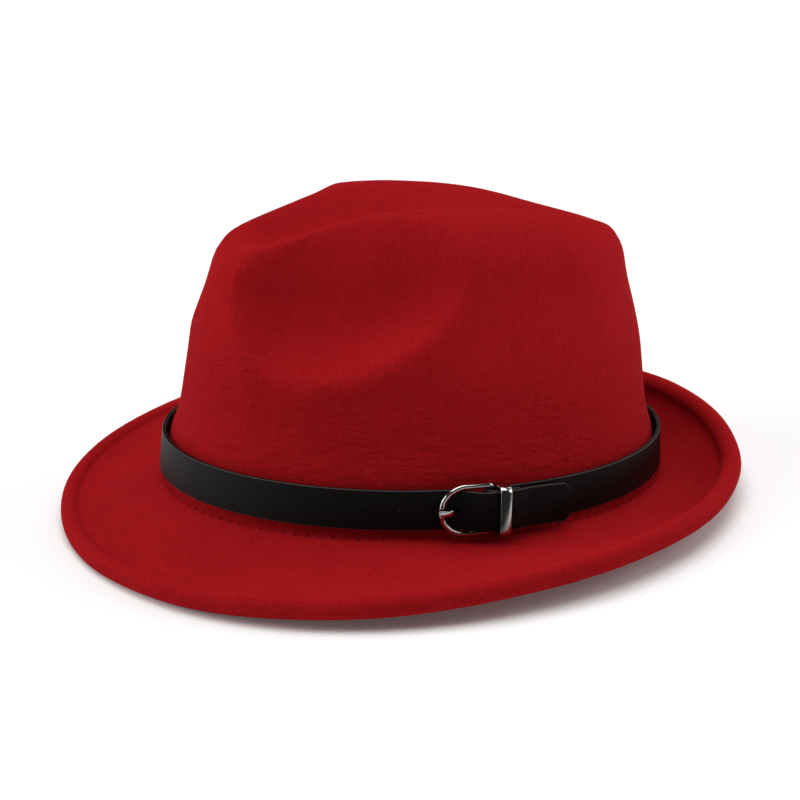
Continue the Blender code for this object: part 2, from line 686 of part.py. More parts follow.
def rounded_box(low, high, half_height, radius):
    """Level and height of the points round a box with rounded corners."""
    points = []
    corners = ((high, 1, 0.0), (low, 1, 90.0), (low, -1, 180.0), (high, -1, 270.0))
    for edge, sign, start in corners:
        centre = edge - radius if edge == high else edge + radius
        for k in range(4):
            turn = math.radians(start + 30.0 * k)
            height = sign * (half_height - radius) + radius * math.sin(turn)
            points.append((centre + radius * math.cos(turn), height))
    return points


def make_buckle_keeper(belt, material, parent):
    """Metal loop round all layers of the belt, with a domed front."""
    half = KEEPER_HEIGHT / 2
    top = OVER_FOLD + BELT_THICKNESS / 2 + GAP + KEEPER_WALL
    outer, inner = [], []
    for share in np.linspace(-1.0, 1.0, KEEPER_STEPS + 1):
        distance = KEEPER_PLACE + share * KEEPER_WIDTH / 2
        dome = KEEPER_DOME * (1 - share * share)
        outer_box = rounded_box(KEEPER_SEAT, top + dome, half, KEEPER_CORNER)
        inner_corner = KEEPER_CORNER - KEEPER_WALL
        inner_half = half - KEEPER_WALL
        inner_box = rounded_box(KEEPER_SEAT + KEEPER_WALL, top - KEEPER_WALL, inner_half, inner_corner)
        outer.append([(distance, r, h) for r, h in outer_box])
        inner.append([(distance, r, h) for r, h in inner_box])
    rings = outer + inner[::-1]
    points = [belt.point(*place) for ring in rings for place in ring]
    faces = ring_faces(len(rings), len(rings[0]), looped=True)
    return make_object("buckle_keeper", points, faces, material, parent)


def main():
    clear_scene()
    felt = make_material("red_felt", (0.30, 0.008, 0.012), 0.95, 0.0)
    leather = make_material("black_leather", (0.006, 0.005, 0.005), 0.45, 0.0)
    chrome = make_material("chrome", (0.80, 0.79, 0.78), 0.12, 1.0)

    directions = np.linspace(0.0, 2 * math.pi, DIRECTIONS, endpoint=False)
    directions = directions - END_CROWDING * np.sin(2 * directions) / 2
    rings = felt_rings(directions, CROWN_STEPS, FILLET_STEPS, BRIM_STEPS, GROOVE_STEPS, ROLL_STEPS)
    place = placing(rings)
    hat_frame = bpy.data.objects.new("hat_frame", None)
    bpy.context.scene.collection.objects.link(hat_frame)
    hat_frame.matrix_world = place

    make_hat_body(flattened(rings, place), felt, hat_frame)
    belt = Belt()
    strap = make_belt_strap(belt, leather, hat_frame)
    punch_belt(strap, belt, hat_frame)
    make_buckle_frame(belt, chrome, hat_frame)
    make_buckle_prong(belt, chrome, hat_frame)
    make_buckle_keeper(belt, chrome, hat_frame)


main()
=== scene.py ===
"""A short-brimmed felt fedora with a buckled leather belt for its band, in a plain pale studio.

All lengths are in metres, and the hat faces -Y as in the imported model. The felt, the belt and the
buckle are worked out from the same sizes and tables as their plain solids, only finer.
"""

import math

import bmesh
import bpy
import numpy as np
from mathutils import Matrix, Vector, noise


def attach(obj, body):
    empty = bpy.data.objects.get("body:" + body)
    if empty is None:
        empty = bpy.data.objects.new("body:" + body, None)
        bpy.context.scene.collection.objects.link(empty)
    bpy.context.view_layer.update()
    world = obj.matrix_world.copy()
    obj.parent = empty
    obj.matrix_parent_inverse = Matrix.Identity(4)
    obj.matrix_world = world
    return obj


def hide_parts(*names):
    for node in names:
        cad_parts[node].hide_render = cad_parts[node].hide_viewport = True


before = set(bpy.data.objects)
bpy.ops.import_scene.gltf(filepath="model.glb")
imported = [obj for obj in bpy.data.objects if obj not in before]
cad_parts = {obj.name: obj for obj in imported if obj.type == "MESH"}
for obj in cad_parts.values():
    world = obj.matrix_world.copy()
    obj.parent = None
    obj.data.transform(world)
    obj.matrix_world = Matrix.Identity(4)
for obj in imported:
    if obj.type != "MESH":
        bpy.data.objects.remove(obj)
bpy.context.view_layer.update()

# Camera
CAMERA_PLACE = (0.60646, -0.35566, 0.27426)
CAMERA_AZIMUTH = 59.506
CAMERA_ELEVATION = 18.667
CAMERA_ROLL = -2.577
CAMERA_LENS = 83.91
SENSOR_WIDTH = 36.0

# Felt
FELT = 0.0020  # thickness of the felt, crown and brim alike
BREAK_RADIUS = 0.0020  # rounding between crown and brim
REST_FLAT = 0.0010  # how far the soft felt is flattened where it rests

# Crown
CROWN_HALF_LENGTH = 0.1008
CROWN_HALF_WIDTH = 0.0855
CROWN_HEIGHT = 0.1085
CREASE_DEPTH = 0.0130  # the long dent along the top
CREASE_FRONT_HALF_WIDTH = 0.0225
CREASE_BACK_HALF_WIDTH = 0.0463
CREASE_FRONT_END = 0.95  # where the crease runs out, as shares of the crown's half length
CREASE_BACK_END = 1.085
CREASE_FRONT_FADE = 0.347  # how long it takes to run out, as shares of the same
CREASE_BACK_FADE = 0.694
CREASE_SIDE_START = 0.60  # shares of the crown's height between which its sides turn into the crease
CREASE_SIDE_END = 0.95
PINCH_DEPTH = 0.0132  # the two dents at the front
PINCH_LEAN = 16.0  # how far they are pressed down rather than in, in degrees
PINCH_FLATNESS = 3.2  # powers that give a pinch its wide floor and its soft edge
PINCH_SOFTNESS = 1.4
PINCH_LIP = 0.0011  # how far the felt bulges below a pinch
PINCH_LIP_PLACE = 1.06  # where it bulges and how widely, as shares of the pinch's own size
PINCH_LIP_WIDTH = 0.17
PINCH_LIP_TOP = 0.6  # how far up the pinch's sides the bulge climbs, as a share of the same
PINCH_REACH = 0.55  # how deep into the crown a pinch is felt, as a share of its half width

# Brim, with the outline of its rim
RIM_HALF_LENGTH = 0.1343
RIM_HALF_WIDTH = 0.1324
RIM_FORWARD = 0.0063  # the rim's middle lies this far in front of the crown's
RIM_FULLNESS = 0.021  # how far the rim's outline bulges between its four ends
BRIM_SWEEP = 0.0332  # from the low front of the brim to its high back
ROLL_DIAMETER = 0.0078  # of the felt's rolled edge
ROLL_START = 140.0  # where it leaves the upper face, in degrees round it from its outermost line
ROLL_END = -110.0  # where it comes back to the lower face
ROLL_GROOVE = 0.0026  # how far in from the roll the faces begin to turn into it

# Belt
BELT_WIDTH = 0.0146
BELT_THICKNESS = 0.0015
BELT_LIFT = 0.0030  # from the level where crown and brim meet to the belt's lower edge
BELT_EASE = 0.0020  # between the crown and the belt's inner face
GAP = 0.0003  # between pieces that touch
FREE_END = 0.0312  # from the buckle's bar to the belt's tip
FREE_END_DROOP = 0.0012
TIP_CHAMFER = 0.0026
TAIL = 0.0100  # the short end that is folded round the bar
HOLE_DIAMETER = 0.0018
HOLE_SPACING = 0.0104
HOLE_COUNT = 5
HOLES_BEFORE_PRONG = 3  # holes between the prong's own hole and the front of the hat

# Buckle
BUCKLE_DIRECTION = 78.1  # of its bar, in degrees from the front towards the wearer's left
BUCKLE_LENGTH = 0.0191  # from the bar's middle to the round end's outside
BUCKLE_HEIGHT = 0.0192
BUCKLE_RISE = 0.0010  # how much further out its round end lies than its bar
PRONG_HOLE_PLACE = 0.0119  # of the prong's own hole, from the bar towards the front
WIRE = 0.0019
BAR = 0.0016  # the bar that the belt is folded round is a little thinner than the rest
PRONG_WIDTH = 0.0020
PRONG_THICKNESS = 0.0012
PRONG_EYE_WALL = 0.0010
EYE_START = 160.0  # the open eye's two ends, in degrees round the bar
EYE_END = -132.0
KEEPER_PLACE = 0.0034  # from the bar's middle to the keeper's
KEEPER_WIDTH = 0.0040
KEEPER_HEIGHT = 0.0181
KEEPER_WALL = 0.0009
KEEPER_SEAT = 0.0008  # between the crown and the keeper's back
KEEPER_DOME = 0.0005
KEEPER_CORNER = 0.0020

# Crown sections: share of the crown's height, of its half length, of its half width, and how much
# narrower the front is than the middle
CROWN_SECTIONS = (
    (0.000, 1.000, 1.000, 0.02),
    (0.140, 0.993, 0.995, 0.02),
    (0.270, 0.953, 0.952, 0.03),
    (0.514, 0.924, 0.872, 0.05),
    (0.728, 0.875, 0.751, 0.09),
    (0.883, 0.834, 0.673, 0.13),
    (0.971, 0.734, 0.539, 0.16),
    (1.000, 0.370, 0.376, 0.16),
    (1.000, 0.000, 0.000, 0.16),
)
# Line of the top: share of the half length from the middle, share of the crown's height
TOP_LINE = (
    (-0.80, 0.964),
    (-0.40, 1.003),
    (0.00, 0.996),
    (0.40, 0.972),
    (0.80, 0.961),
)
# Brim by direction: degrees from the front, rise as a share of the brim's sweep, slope where it
# leaves the crown and slope where the roll begins, both in degrees, and how far the roll stands
# above the brim's upper face as a share of its diameter
BRIM_SECTIONS = (
    (0.0, -0.474, -31.0, -15.0, 0.20),
    (45.0, -0.305, -25.0, 6.0, 0.20),
    (90.0, 0.030, -18.0, 15.0, 0.28),
    (135.0, 0.207, -12.0, 37.0, 0.40),
    (180.0, 0.398, -6.0, 61.0, 0.44),
)
# Pinches: name, degrees from the front, share of the crown's height, degrees that it climbs towards
# the wearer's left, half width as a share of the crown's half length, half height above and below
# as shares of the crown's height, depth as a share of the pinch depth
PINCHES = (
    ("left pinch", 48.0, 0.765, 26.0, 0.45, 0.36, 0.28, 1.0),
    ("right pinch", -52.0, 0.775, -23.0, 0.40, 0.36, 0.27, 0.95),
)
# Belt between the front of the hat and the bar: distance from the bar as a share of the buckle's
# length, share of the climb from the crown to the top of the fold
STRAP_CLIMB = (
    (-1.20, 0.00),
    (-0.85, 0.00),
    (-0.72, 0.05),
    (-0.60, 0.20),
    (-0.41, 0.62),
    (-0.20, 0.97),
    (-0.10, 1.00),
    (0.00, 1.00),
)
# Free end of the belt beyond the keeper: distance from the bar as a share of the free end's length,
# drop towards the crown in layers of leather
FREE_END_DROP = (
    (0.50, 1.0),
    (0.75, 1.2),
    (1.00, 1.0),
)
TAIL_DROP = 0.45  # the folded tail's, in layers too
# Prong: distance from the bar as a share of the buckle's length, share of the way from the crown
# to where the tip lies on the round end
PRONG_PATH = (
    (-0.14, 0.12),
    (-0.28, 0.05),
    (-0.45, 0.02),
    (-0.54, 0.02),
    (-0.585, 0.08),
    (-0.62, 0.21),
    (-0.675, 0.46),
    (-0.735, 0.72),
    (-0.81, 0.93),
    (-0.90, 1.00),
    (-0.995, 1.00),
)

# Felt: how uneven the whole sheet is, then its colours in linear light
WAVER = 0.0005
WAVER_SCALE = 26.0  # cycles a metre, as for every scale below
WAVER_SEED = 5
FELT_RED = (0.345, 0.0074, 0.0096, 1.0)
FELT_DEEP = (0.300, 0.0062, 0.0080, 1.0)
FELT_BRIGHT = (0.410, 0.0096, 0.0125, 1.0)
FELT_PALE = (0.540, 0.0220, 0.0280, 1.0)
FELT_DARK = (0.130, 0.0026, 0.0038, 1.0)
FELT_SHEEN = (1.0, 0.035, 0.060, 1.0)
# Felt: scales of its clouds, mottle, lumps, nap and fibres, and how deep the last three are
FELT_CLOUD = 38.0
FELT_MOTTLE = 420.0
FELT_LUMP = 300.0
FELT_NAP = 900.0
FELT_FIBRE = 2000.0
LUMP_DEPTH = 0.00010
NAP_DEPTH = 0.00050
FIBRE_DEPTH = 0.00016
# Felt: wrinkles of the lower crown, and where they fade in and out above its foot
WRINKLE_SCALE = (120.0, 470.0, 1.0)  # round the hat, down it
WRINKLE_DEPTH = 0.0015
WRINKLE_PATCH = 22.0
WRINKLE_TOP = (-0.070, -0.045)
WRINKLE_FOOT = (-0.016, -0.010)
# Felt: stitches of a seam, seen as small dents, with painted shade darkening them
STITCH_PITCH = 0.0045
STITCH_SHARE = 0.15  # of the pitch, to each side of a stitch's middle
STITCH_LINE = 0.0096  # from the crown's foot out along the brim
STITCH_WIDTH = 0.0008
# how far painted shade darkens the stitch dents, towards the felt's dark tone
STITCH_PAINTED_SHADE = 0.75
STITCH_DEPTH = 1.5  # as a share of the nap's
STITCH_PULL = 130.0  # scale on which they are pulled tight or loose

# Leather
STRAP_ROUNDING = 0.00030
MOST_ROUNDING = 0.9  # as a share of half the thickness
TIP_THINNING = 0.7
LEATHER_GRAIN = 1500.0
LEATHER_PORES = 2600.0
LEATHER_RUBS = 90.0
GRAIN_DEPTH = 0.00006
PORE_DEPTH = 0.00005
LEATHER_BLACK = (0.0013, 0.0011, 0.0012, 1.0)
LEATHER_SOFT = (0.0022, 0.0019, 0.0020, 1.0)
# paler colour of the belt's rounded edges: partly edge paint, partly a painted highlight
LEATHER_EDGE_PAINT_AND_HIGHLIGHT = (0.110, 0.085, 0.078, 1.0)
LEATHER_ROUGHNESS = (0.36, 0.52)
LEATHER_GLOSS = 0.11
HOLE_SIDES = 24
HOLE_SHADE_FLOOR = 0.0003  # a dark floor of leather left at the bottom of a hole, standing in for the shade inside a hole that goes through
PRONG_HOLE = (0.0024, 0.0023)  # where the tongue fills it: along the belt and across it
PRONG_HOLE_SHIFT = -0.0005

# Chrome
CHROME = (0.38, 0.372, 0.355, 1.0)
CHROME_ROUGHNESS = (0.05, 0.13)
CHROME_HAZE = 700.0
HAIRLINES = (900.0, 900.0, 9000.0)
HAIRLINE_DEPTH = 0.000012
KEEPER_LEAN = math.radians(11.0)  # how far its front is turned up
KEEPER_EDGE = 0.00015
PRONG_EDGE = 0.00022
BEVEL_ANGLE = math.radians(30.0)
SEAT_HALF = 0.0012  # half of the prong's seat on the buckle's round end
SEAT_DIP = 0.30
SHOULDER = 0.35  # height of the rise to each side of it, in half wires
SHOULDER_PLACE = 1.5  # where that lies and how wide it is, in half seats
SHOULDER_WIDTH = 0.35
NO_SEAT = 9.0  # half seats away, for the rest of the wire
WIRE_FLATNESS = 0.94  # the wire's thickness as a share of its width

# Studio
FLOOR_SIZE = 14.0
FLOOR_DROP = 0.0003
FLOOR_TONE = (0.93, 0.93, 0.93, 1.0)
FLOOR_TONE_SOFT = (0.91, 0.91, 0.91, 1.0)
FLOOR_CLOUD = 3.0
SKY = (1.0, 1.0, 1.0, 1.0)
SKY_STRENGTH = 0.04
# Own glow of the floor, near the hat and far from it, where it stands in for a lit backdrop
NEAR_GLOW = 0.06
FAR_GLOW = 0.95
GLOW_START = 0.5
GLOW_END = 1.5
# Soft boxes: name, metres to the camera's right, towards it and up, width, height, power
LIGHTS = (
    ("top_box", 0.0, 0.0, 2.6, 2.4, 2.4, 58.0),
    ("left_box", -2.4, 0.2, 1.2, 1.6, 1.8, 38.0),
    ("right_box", 2.4, 0.0, 1.2, 1.6, 1.8, 25.0),
    ("far_box", 1.4, -1.8, 1.6, 1.8, 1.8, 14.0),
)
LIGHT_AIM = Vector((0.0, 0.0, 0.06))
CLIP = (0.01, 50.0)  # nearest and furthest that the camera sees
SMOOTH_ANGLE = math.radians(40.0)

# How finely the plain solids are cut up, which settles how the hat stands
DIRECTIONS = 64
END_CROWDING = 0.30  # how much closer the directions lie at the front and the back than evenly
CROWN_STEPS = (1, 1, 3, 3, 3, 3, 4, 3)
FILLET_STEPS = 3
BRIM_STEPS = 5
GROOVE_STEPS = 2
ROLL_STEPS = 9
MOST_TIP = math.radians(20.0)  # the way it tips is found by halving this range so many times
TIP_HALVINGS = 40

# How finely the pieces shown here are cut up
FINE_DIRECTIONS = 384
FINE_CROWN_STEPS = (4, 4, 9, 9, 9, 9, 12, 6)
FINE_FILLET_STEPS = 4
FINE_BRIM_STEPS = 24
FINE_GROOVE_STEPS = 8
FINE_ROLL_STEPS = 26
BELT_STEPS = 240
NEAR_BUCKLE_STEPS = 30
FOLD_STEPS = 16
WIRE_POINTS = 16
BAR_POINTS = 9
ARM_POINTS = 12
BEND_ANGLES = (15.0, 30.0, 45.0, 60.0, 75.0)
ARCH_STEPS = 48
EYE_STEPS = 16
KEEPER_STEPS = 12
CORNER_STEPS = 6


def eased(share):
    """Ease from 0 to 1, level at both ends."""
    share = np.clip(share, 0.0, 1.0)
    return share * share * (3.0 - 2.0 * share)


def through_rows(rows, places, mirrored=False):
    """Columns of a table on a smooth curve through its rows. Place 1.5 is halfway from row 1 to row 2."""
    rows = np.array(rows, float)
    first, last = (rows[1], rows[-2]) if mirrored else (2 * rows[0] - rows[1], 2 * rows[-1] - rows[-2])
    rows = np.vstack([first, rows, last])
    places = np.asarray(places, float)
    step = np.clip(places.astype(int), 0, len(rows) - 4)
    t = (places - step)[:, None]
    before, start, end, after = (rows[step + k] for k in range(4))
    return 0.5 * (
        2 * start
        + (end - before) * t
        + (2 * before - 5 * start + 4 * end - after) * t**2
        + (3 * start - before - 3 * end + after) * t**3
    )


def read_column(rows, values):
    """Other columns of a table at values of its first column, which rises."""
    first = [row[0] for row in rows]
    places = np.interp(np.ravel(values), first, range(len(rows)))
    return through_rows(rows, places)[:, 1:]


def oval(directions, fullness=0.0, narrowing=0.0):
    """Shares across and along an egg-shaped outline. Direction 0 is the front, -Y."""
    c, s = np.cos(directions), np.sin(directions)
    along = -c * (1.0 + fullness * s * s)
    across = s * (1.0 + fullness * c * c) * (1.0 + narrowing * along)
    return across, along


def outward(x, y):
    """Level unit vectors that point out of a closed outline of evenly turned points."""
    turn_x = np.roll(x, -1) - np.roll(x, 1)
    turn_y = np.roll(y, -1) - np.roll(y, 1)
    size = np.hypot(turn_x, turn_y)
    return turn_y / size, -turn_x / size


def crown_place(height):
    """Place in the crown's table at a share of the crown's height."""
    sides = CROWN_SECTIONS[:-1]
    return np.interp(height, [row[0] for row in sides], range(len(sides)))


def plain_crown(directions, places):
    """Crown with its long crease but no pinches, as an array of ring, direction and x, y, z."""
    table = through_rows(CROWN_SECTIONS, places)
    height, length, width, narrowing = (table[:, k][:, None] for k in range(4))
    across, along = oval(directions, narrowing=narrowing)
    x = CROWN_HALF_WIDTH * width * across
    share_y = length * along
    front, back = TOP_LINE[0][0], TOP_LINE[-1][0]
    top = read_column(TOP_LINE, np.clip(share_y, front, back))[:, 0].reshape(share_y.shape)
    z = CROWN_HEIGHT * height * top
    toward_back = np.clip((share_y - front) / (back - front), 0.0, None)
    half_width = CREASE_FRONT_HALF_WIDTH + (CREASE_BACK_HALF_WIDTH - CREASE_FRONT_HALF_WIDTH) * toward_back
    across_crease = np.clip(np.abs(x) / half_width, 0.0, 1.0)
    front_fade = eased((share_y + CREASE_FRONT_END) / CREASE_FRONT_FADE)
    back_fade = eased((CREASE_BACK_END - share_y) / CREASE_BACK_FADE)
    side_fade = eased((height - CREASE_SIDE_START) / (CREASE_SIDE_END - CREASE_SIDE_START))
    z = z - CREASE_DEPTH * (1.0 - across_crease**2) ** 2 * front_fade * back_fade * side_fade
    return np.stack([x, CROWN_HALF_LENGTH * share_y, z], axis=-1)


def pinch(points, direction, height, climb, half_width, above, below, depth):
    """Push one soft dent into the crown."""
    angle = math.radians(direction)
    centre = plain_crown(np.array([angle]), [crown_place(height)])[0, 0]
    tilt = math.radians(PINCH_LEAN)
    out = np.array([math.sin(angle) * math.cos(tilt), -math.cos(angle) * math.cos(tilt), math.sin(tilt)])
    level_side = np.array([math.cos(angle), math.sin(angle), 0.0])
    turn = math.radians(climb)
    side = level_side * math.cos(turn) + np.cross(out, level_side) * math.sin(turn)
    up = np.cross(out, side)
    offset = points - centre
    level = offset @ up
    reach = np.where(level > 0.0, above, below) * CROWN_HEIGHT
    distance = np.hypot((offset @ side) / (half_width * CROWN_HALF_LENGTH), level / reach)
    bowl = (1.0 - np.clip(distance, 0.0, 1.0) ** PINCH_FLATNESS) ** PINCH_SOFTNESS
    near = eased(1.0 + (offset @ out) / (PINCH_REACH * CROWN_HALF_WIDTH))
    off_lip = (distance - PINCH_LIP_PLACE) / PINCH_LIP_WIDTH
    lip = np.exp(-(off_lip**2)) * eased(PINCH_LIP_TOP - level / reach)
    move = PINCH_LIP * lip - PINCH_DEPTH * bowl
    return points + (depth * near * move)[..., None] * out


def crown(directions, places):
    """Crown with its crease and its pinches."""
    points = plain_crown(directions, places)
    for _name, *shape in PINCHES:
        points = pinch(points, *shape)
    return points


def brim_form(directions):
    """What the brim needs by direction.

    Where it and its roll start, its slopes, how far the roll stands up, and the way out.
    """
    turned = np.degrees(np.arccos(np.cos(directions)))
    places = np.interp(turned, [row[0] for row in BRIM_SECTIONS], range(len(BRIM_SECTIONS)))
    table = through_rows(BRIM_SECTIONS, places, mirrored=True)
    rise = BRIM_SWEEP * table[:, 1]
    start_slope, end_slope = np.radians(table[:, 2]), np.radians(table[:, 3])
    across, along = oval(directions, fullness=RIM_FULLNESS)
    rim_x, rim_y = RIM_HALF_WIDTH * across, RIM_HALF_LENGTH * along - RIM_FORWARD
    out_x, out_y = outward(rim_x, rim_y)
    stand = ROLL_DIAMETER * table[:, 4]
    radius = ROLL_DIAMETER / 2
    reach = radius * (1.0 + np.cos(end_slope)) - (stand - radius) * np.sin(end_slope)
    fold = np.stack([rim_x - reach * out_x, rim_y - reach * out_y, rise], axis=-1)
    root = crown(directions, [0.0])[0]
    return root, fold, start_slope, end_slope, stand, out_x, out_y


def brim_surface(root, fold, start_slope, end_slope, share):
    """Points of the brim's top at a share of the way from the crown to the roll."""
    run = np.hypot(fold[:, 0] - root[:, 0], fold[:, 1] - root[:, 1])
    plan = root[:, :2] + (fold[:, :2] - root[:, :2]) * share[:, None]
    s = share
    rise = fold[:, 2] - root[:, 2]
    z = (
        root[:, 2]
        + rise * (3 * s**2 - 2 * s**3)
        + run * np.tan(start_slope) * (s**3 - 2 * s**2 + s)
        + run * np.tan(end_slope) * (s**3 - s**2)
    )
    return np.column_stack([plan, z])


def corner(start, middle, end, share):
    """Point on a rounded corner between two lines that meet at the middle."""
    return start * (1 - share) ** 2 + middle * 2 * share * (1 - share) + end * share**2


def felt_top(directions, crown_steps, fillet_steps, brim_steps):
    """Rings of the felt's upper face, from the middle of the crown out to the groove of the roll."""
    places = [0.0]
    for row, steps in enumerate(crown_steps):
        places += [row + (k + 1) / steps for k in range(steps)]
    fillet_place = crown_place(BREAK_RADIUS / CROWN_HEIGHT)
    places = [fillet_place] + [place for place in places if place > 2.0 * fillet_place]
    rings = list(crown(directions, places[::-1]))
    root, fold, start_slope, end_slope, *_ = brim_form(directions)
    run = np.hypot(fold[:, 0] - root[:, 0], fold[:, 1] - root[:, 1])
    inner_share, outer_share = BREAK_RADIUS / run, 1.0 - ROLL_GROOVE / run
    shares = [inner_share + (outer_share - inner_share) * k / brim_steps for k in range(brim_steps + 1)]
    brim = [brim_surface(root, fold, start_slope, end_slope, share) for share in shares]
    rings += [corner(rings[-1], root, brim[0], k / fillet_steps) for k in range(1, fillet_steps)]
    return np.array(rings + brim)


def roll_point(turn, stand, beyond=0.0):
    """Place on the roll's section, out from the groove and up from the brim's upper face.

    beyond is how far from it, on the straight line that touches the section there.
    """
    radius = ROLL_DIAMETER / 2
    out = radius * (1.0 + math.cos(turn)) - beyond * math.sin(turn)
    up = stand - radius * (1.0 - math.sin(turn)) + beyond * math.cos(turn)
    return out, up


def roll_meets(turn, stand, level):
    """Where the line that touches the roll's section at a turn comes to a level."""
    up = roll_point(turn, stand)[1]
    return roll_point(turn, stand, (level - up) / math.cos(turn))


def sheet_normals(rings):
    """Unit normals of a grid of rings. The first ring is one point, repeated."""
    around = np.roll(rings, -1, axis=1) - np.roll(rings, 1, axis=1)
    outwards = np.gradient(rings, axis=0)
    normals = np.cross(outwards, around)
    normals[0] = normals[1].mean(axis=0)
    return normals / np.linalg.norm(normals, axis=-1, keepdims=True)


def felt_rings(directions, crown_steps, fillet_steps, brim_steps, groove_steps, roll_steps):
    """Closed sheet of felt: its upper face out to the rim, over the rolled rim, and back under it."""
    top = felt_top(directions, crown_steps, fillet_steps, brim_steps)
    under = top - sheet_normals(top) * FELT
    _, fold, _, slope, stand, out_x, out_y = brim_form(directions)
    along = np.stack([out_x * np.cos(slope), out_y * np.cos(slope), np.sin(slope)], axis=-1)
    above = np.stack([-out_x * np.sin(slope), -out_y * np.sin(slope), np.cos(slope)], axis=-1)
    turns = np.radians(np.linspace(ROLL_START, ROLL_END, roll_steps + 1))
    stand = stand[:, None]
    places = [roll_point(turn, stand) for turn in turns]
    places = [roll_meets(turns[0], stand, 0.0), *places, roll_meets(turns[-1], stand, -FELT)]
    groove, *roll, foot = [fold + along * out + above * up for out, up in places]
    shares = [k / groove_steps for k in range(1, groove_steps)]
    into = [corner(top[-1], groove, roll[0], share) for share in shares]
    back = [corner(roll[-1], foot, under[-1], share) for share in shares]
    return np.concatenate([top, into + roll + back, under[::-1]])


def rest_pose(points):
    """Tip that sets both the front and the back of the hat on the same level, and that level."""
    y, z = points[..., 1].ravel(), points[..., 2].ravel()
    low, high = -MOST_TIP, MOST_TIP
    for _ in range(TIP_HALVINGS):
        tip = (low + high) / 2
        tipped = z * math.cos(tip) + y * math.sin(tip)
        if tipped[y < 0].min() > tipped[y >= 0].min():
            low = tip
        else:
            high = tip
    return tip, tipped.min()


def placing(points):
    """Matrix from the hat's own frame to the world, where the hat rests on z = 0 about the origin."""
    tip, floor = rest_pose(points)
    turned = Matrix.Rotation(tip, 4, "X")
    y = points[..., 1] * math.cos(tip) - points[..., 2] * math.sin(tip)
    shift = Matrix.Translation((0.0, -(y.min() + y.max()) / 2, -floor - REST_FLAT))
    return shift @ turned


class Belt:
    """Turns places on the belt into places in the hat's frame.

    distance runs round the crown from the buckle's bar, growing towards the back of the hat.
    level is how far out of the crown's side a point lies, and height how far above the belt's middle.
    """

    def __init__(self):
        self.middle = BELT_LIFT + BELT_WIDTH / 2
        turns = np.radians(np.arange(0.0, 360.5, 0.5))
        edges = np.array([BELT_LIFT, BELT_LIFT + BELT_WIDTH]) / CROWN_HEIGHT
        low, high = crown(turns, crown_place(edges))[..., :2]
        line = (low + high) / 2
        steps = np.linalg.norm(np.diff(line, axis=0), axis=1)
        self.travel = np.concatenate([[0.0], np.cumsum(steps)])
        self.round = self.travel[-1]
        self.start = np.interp(math.radians(BUCKLE_DIRECTION), turns, self.travel)
        out = np.array(outward(line[:-1, 0], line[:-1, 1]))
        self.columns = np.vstack([line.T, (high - low).T / BELT_WIDTH, np.hstack([out, out[:, :1]])])

    def point(self, distance, level, height):
        along = (self.start + distance) % self.round
        here = [np.interp(along, self.travel, column) for column in self.columns]
        x, y, lean_x, lean_y, out_x, out_y = here
        return np.array([
            x + lean_x * height + out_x * level,
            y + lean_y * height + out_y * level,
            self.middle + height,
        ])


LAYER = BELT_THICKNESS + GAP
ON_CROWN = BELT_EASE + BELT_THICKNESS / 2
FOLD_RADIUS = BAR / 2 + GAP + BELT_THICKNESS / 2
BAR_LEVEL = ON_CROWN + FOLD_RADIUS
OVER_BAR = BAR_LEVEL + FOLD_RADIUS
OVER_FOLD = OVER_BAR + LAYER
IN_KEEPER = KEEPER_SEAT + KEEPER_WALL + GAP + BELT_THICKNESS / 2
KEEPER_START = KEEPER_PLACE - KEEPER_WIDTH / 2 - GAP
KEEPER_END = KEEPER_PLACE + KEEPER_WIDTH / 2 + GAP


def belt_path(belt):
    """Middle line of the belt as distance and level: tail, fold, once round the crown, free end."""
    tail_rows = [(KEEPER_END, OVER_BAR), (TAIL, OVER_BAR - TAIL_DROP * LAYER)]
    path = [(d, level(tail_rows, d)) for d in np.linspace(TAIL, 0.0, NEAR_BUCKLE_STEPS + 1)]
    for k in range(1, FOLD_STEPS):
        turn = math.pi * k / FOLD_STEPS
        path.append((-FOLD_RADIUS * math.sin(turn), BAR_LEVEL + FOLD_RADIUS * math.cos(turn)))
    on_crown_again = KEEPER_END + BELT_WIDTH / 2
    in_keeper = [(KEEPER_START, IN_KEEPER), (KEEPER_END, IN_KEEPER)]
    under_rows = [(BAR / 4, ON_CROWN), *in_keeper, (on_crown_again, ON_CROWN)]
    path += [(d, level(under_rows, d)) for d in np.linspace(0.0, on_crown_again, NEAR_BUCKLE_STEPS + 1)]
    climb_start = STRAP_CLIMB[0][0] * BUCKLE_LENGTH
    plain = np.linspace(on_crown_again, belt.round + climb_start, BELT_STEPS)
    path += [(d, ON_CROWN) for d in plain[1:-1]]
    climb = [(share * BUCKLE_LENGTH, ON_CROWN + rise * (OVER_FOLD - ON_CROWN)) for share, rise in STRAP_CLIMB]
    free_end = [(share * FREE_END, OVER_FOLD - layers * LAYER) for share, layers in FREE_END_DROP]
    free_rows = climb + [(KEEPER_END, OVER_FOLD)] + free_end
    distances = np.concatenate([
        np.linspace(climb_start, 0.0, NEAR_BUCKLE_STEPS + 1),
        np.linspace(0.0, KEEPER_END, NEAR_BUCKLE_STEPS // 2 + 1)[1:],
        np.linspace(KEEPER_END, FREE_END - TIP_CHAMFER, NEAR_BUCKLE_STEPS - 3)[1:],
        [FREE_END],
    ])
    return path + [(belt.round + d, level(free_rows, d)) for d in distances]


def level(rows, distance):
    """Level at a distance, on a smooth line that never passes beyond its rows."""
    for (start, low), (end, high) in zip(rows, rows[1:], strict=False):
        if distance <= end:
            return low + (high - low) * float(eased((distance - start) / (end - start)))
    return rows[-1][1]


def across_line(line):
    """Unit vectors square to a flat open line at each of its points."""
    way = np.diff(line, axis=0)
    way = way / np.linalg.norm(way, axis=1, keepdims=True)
    way = np.vstack([way[:1], way[:-1] + way[1:], way[-1:]])
    way = way / np.linalg.norm(way, axis=1, keepdims=True)
    return np.stack([way[:, 1], -way[:, 0]], axis=1)


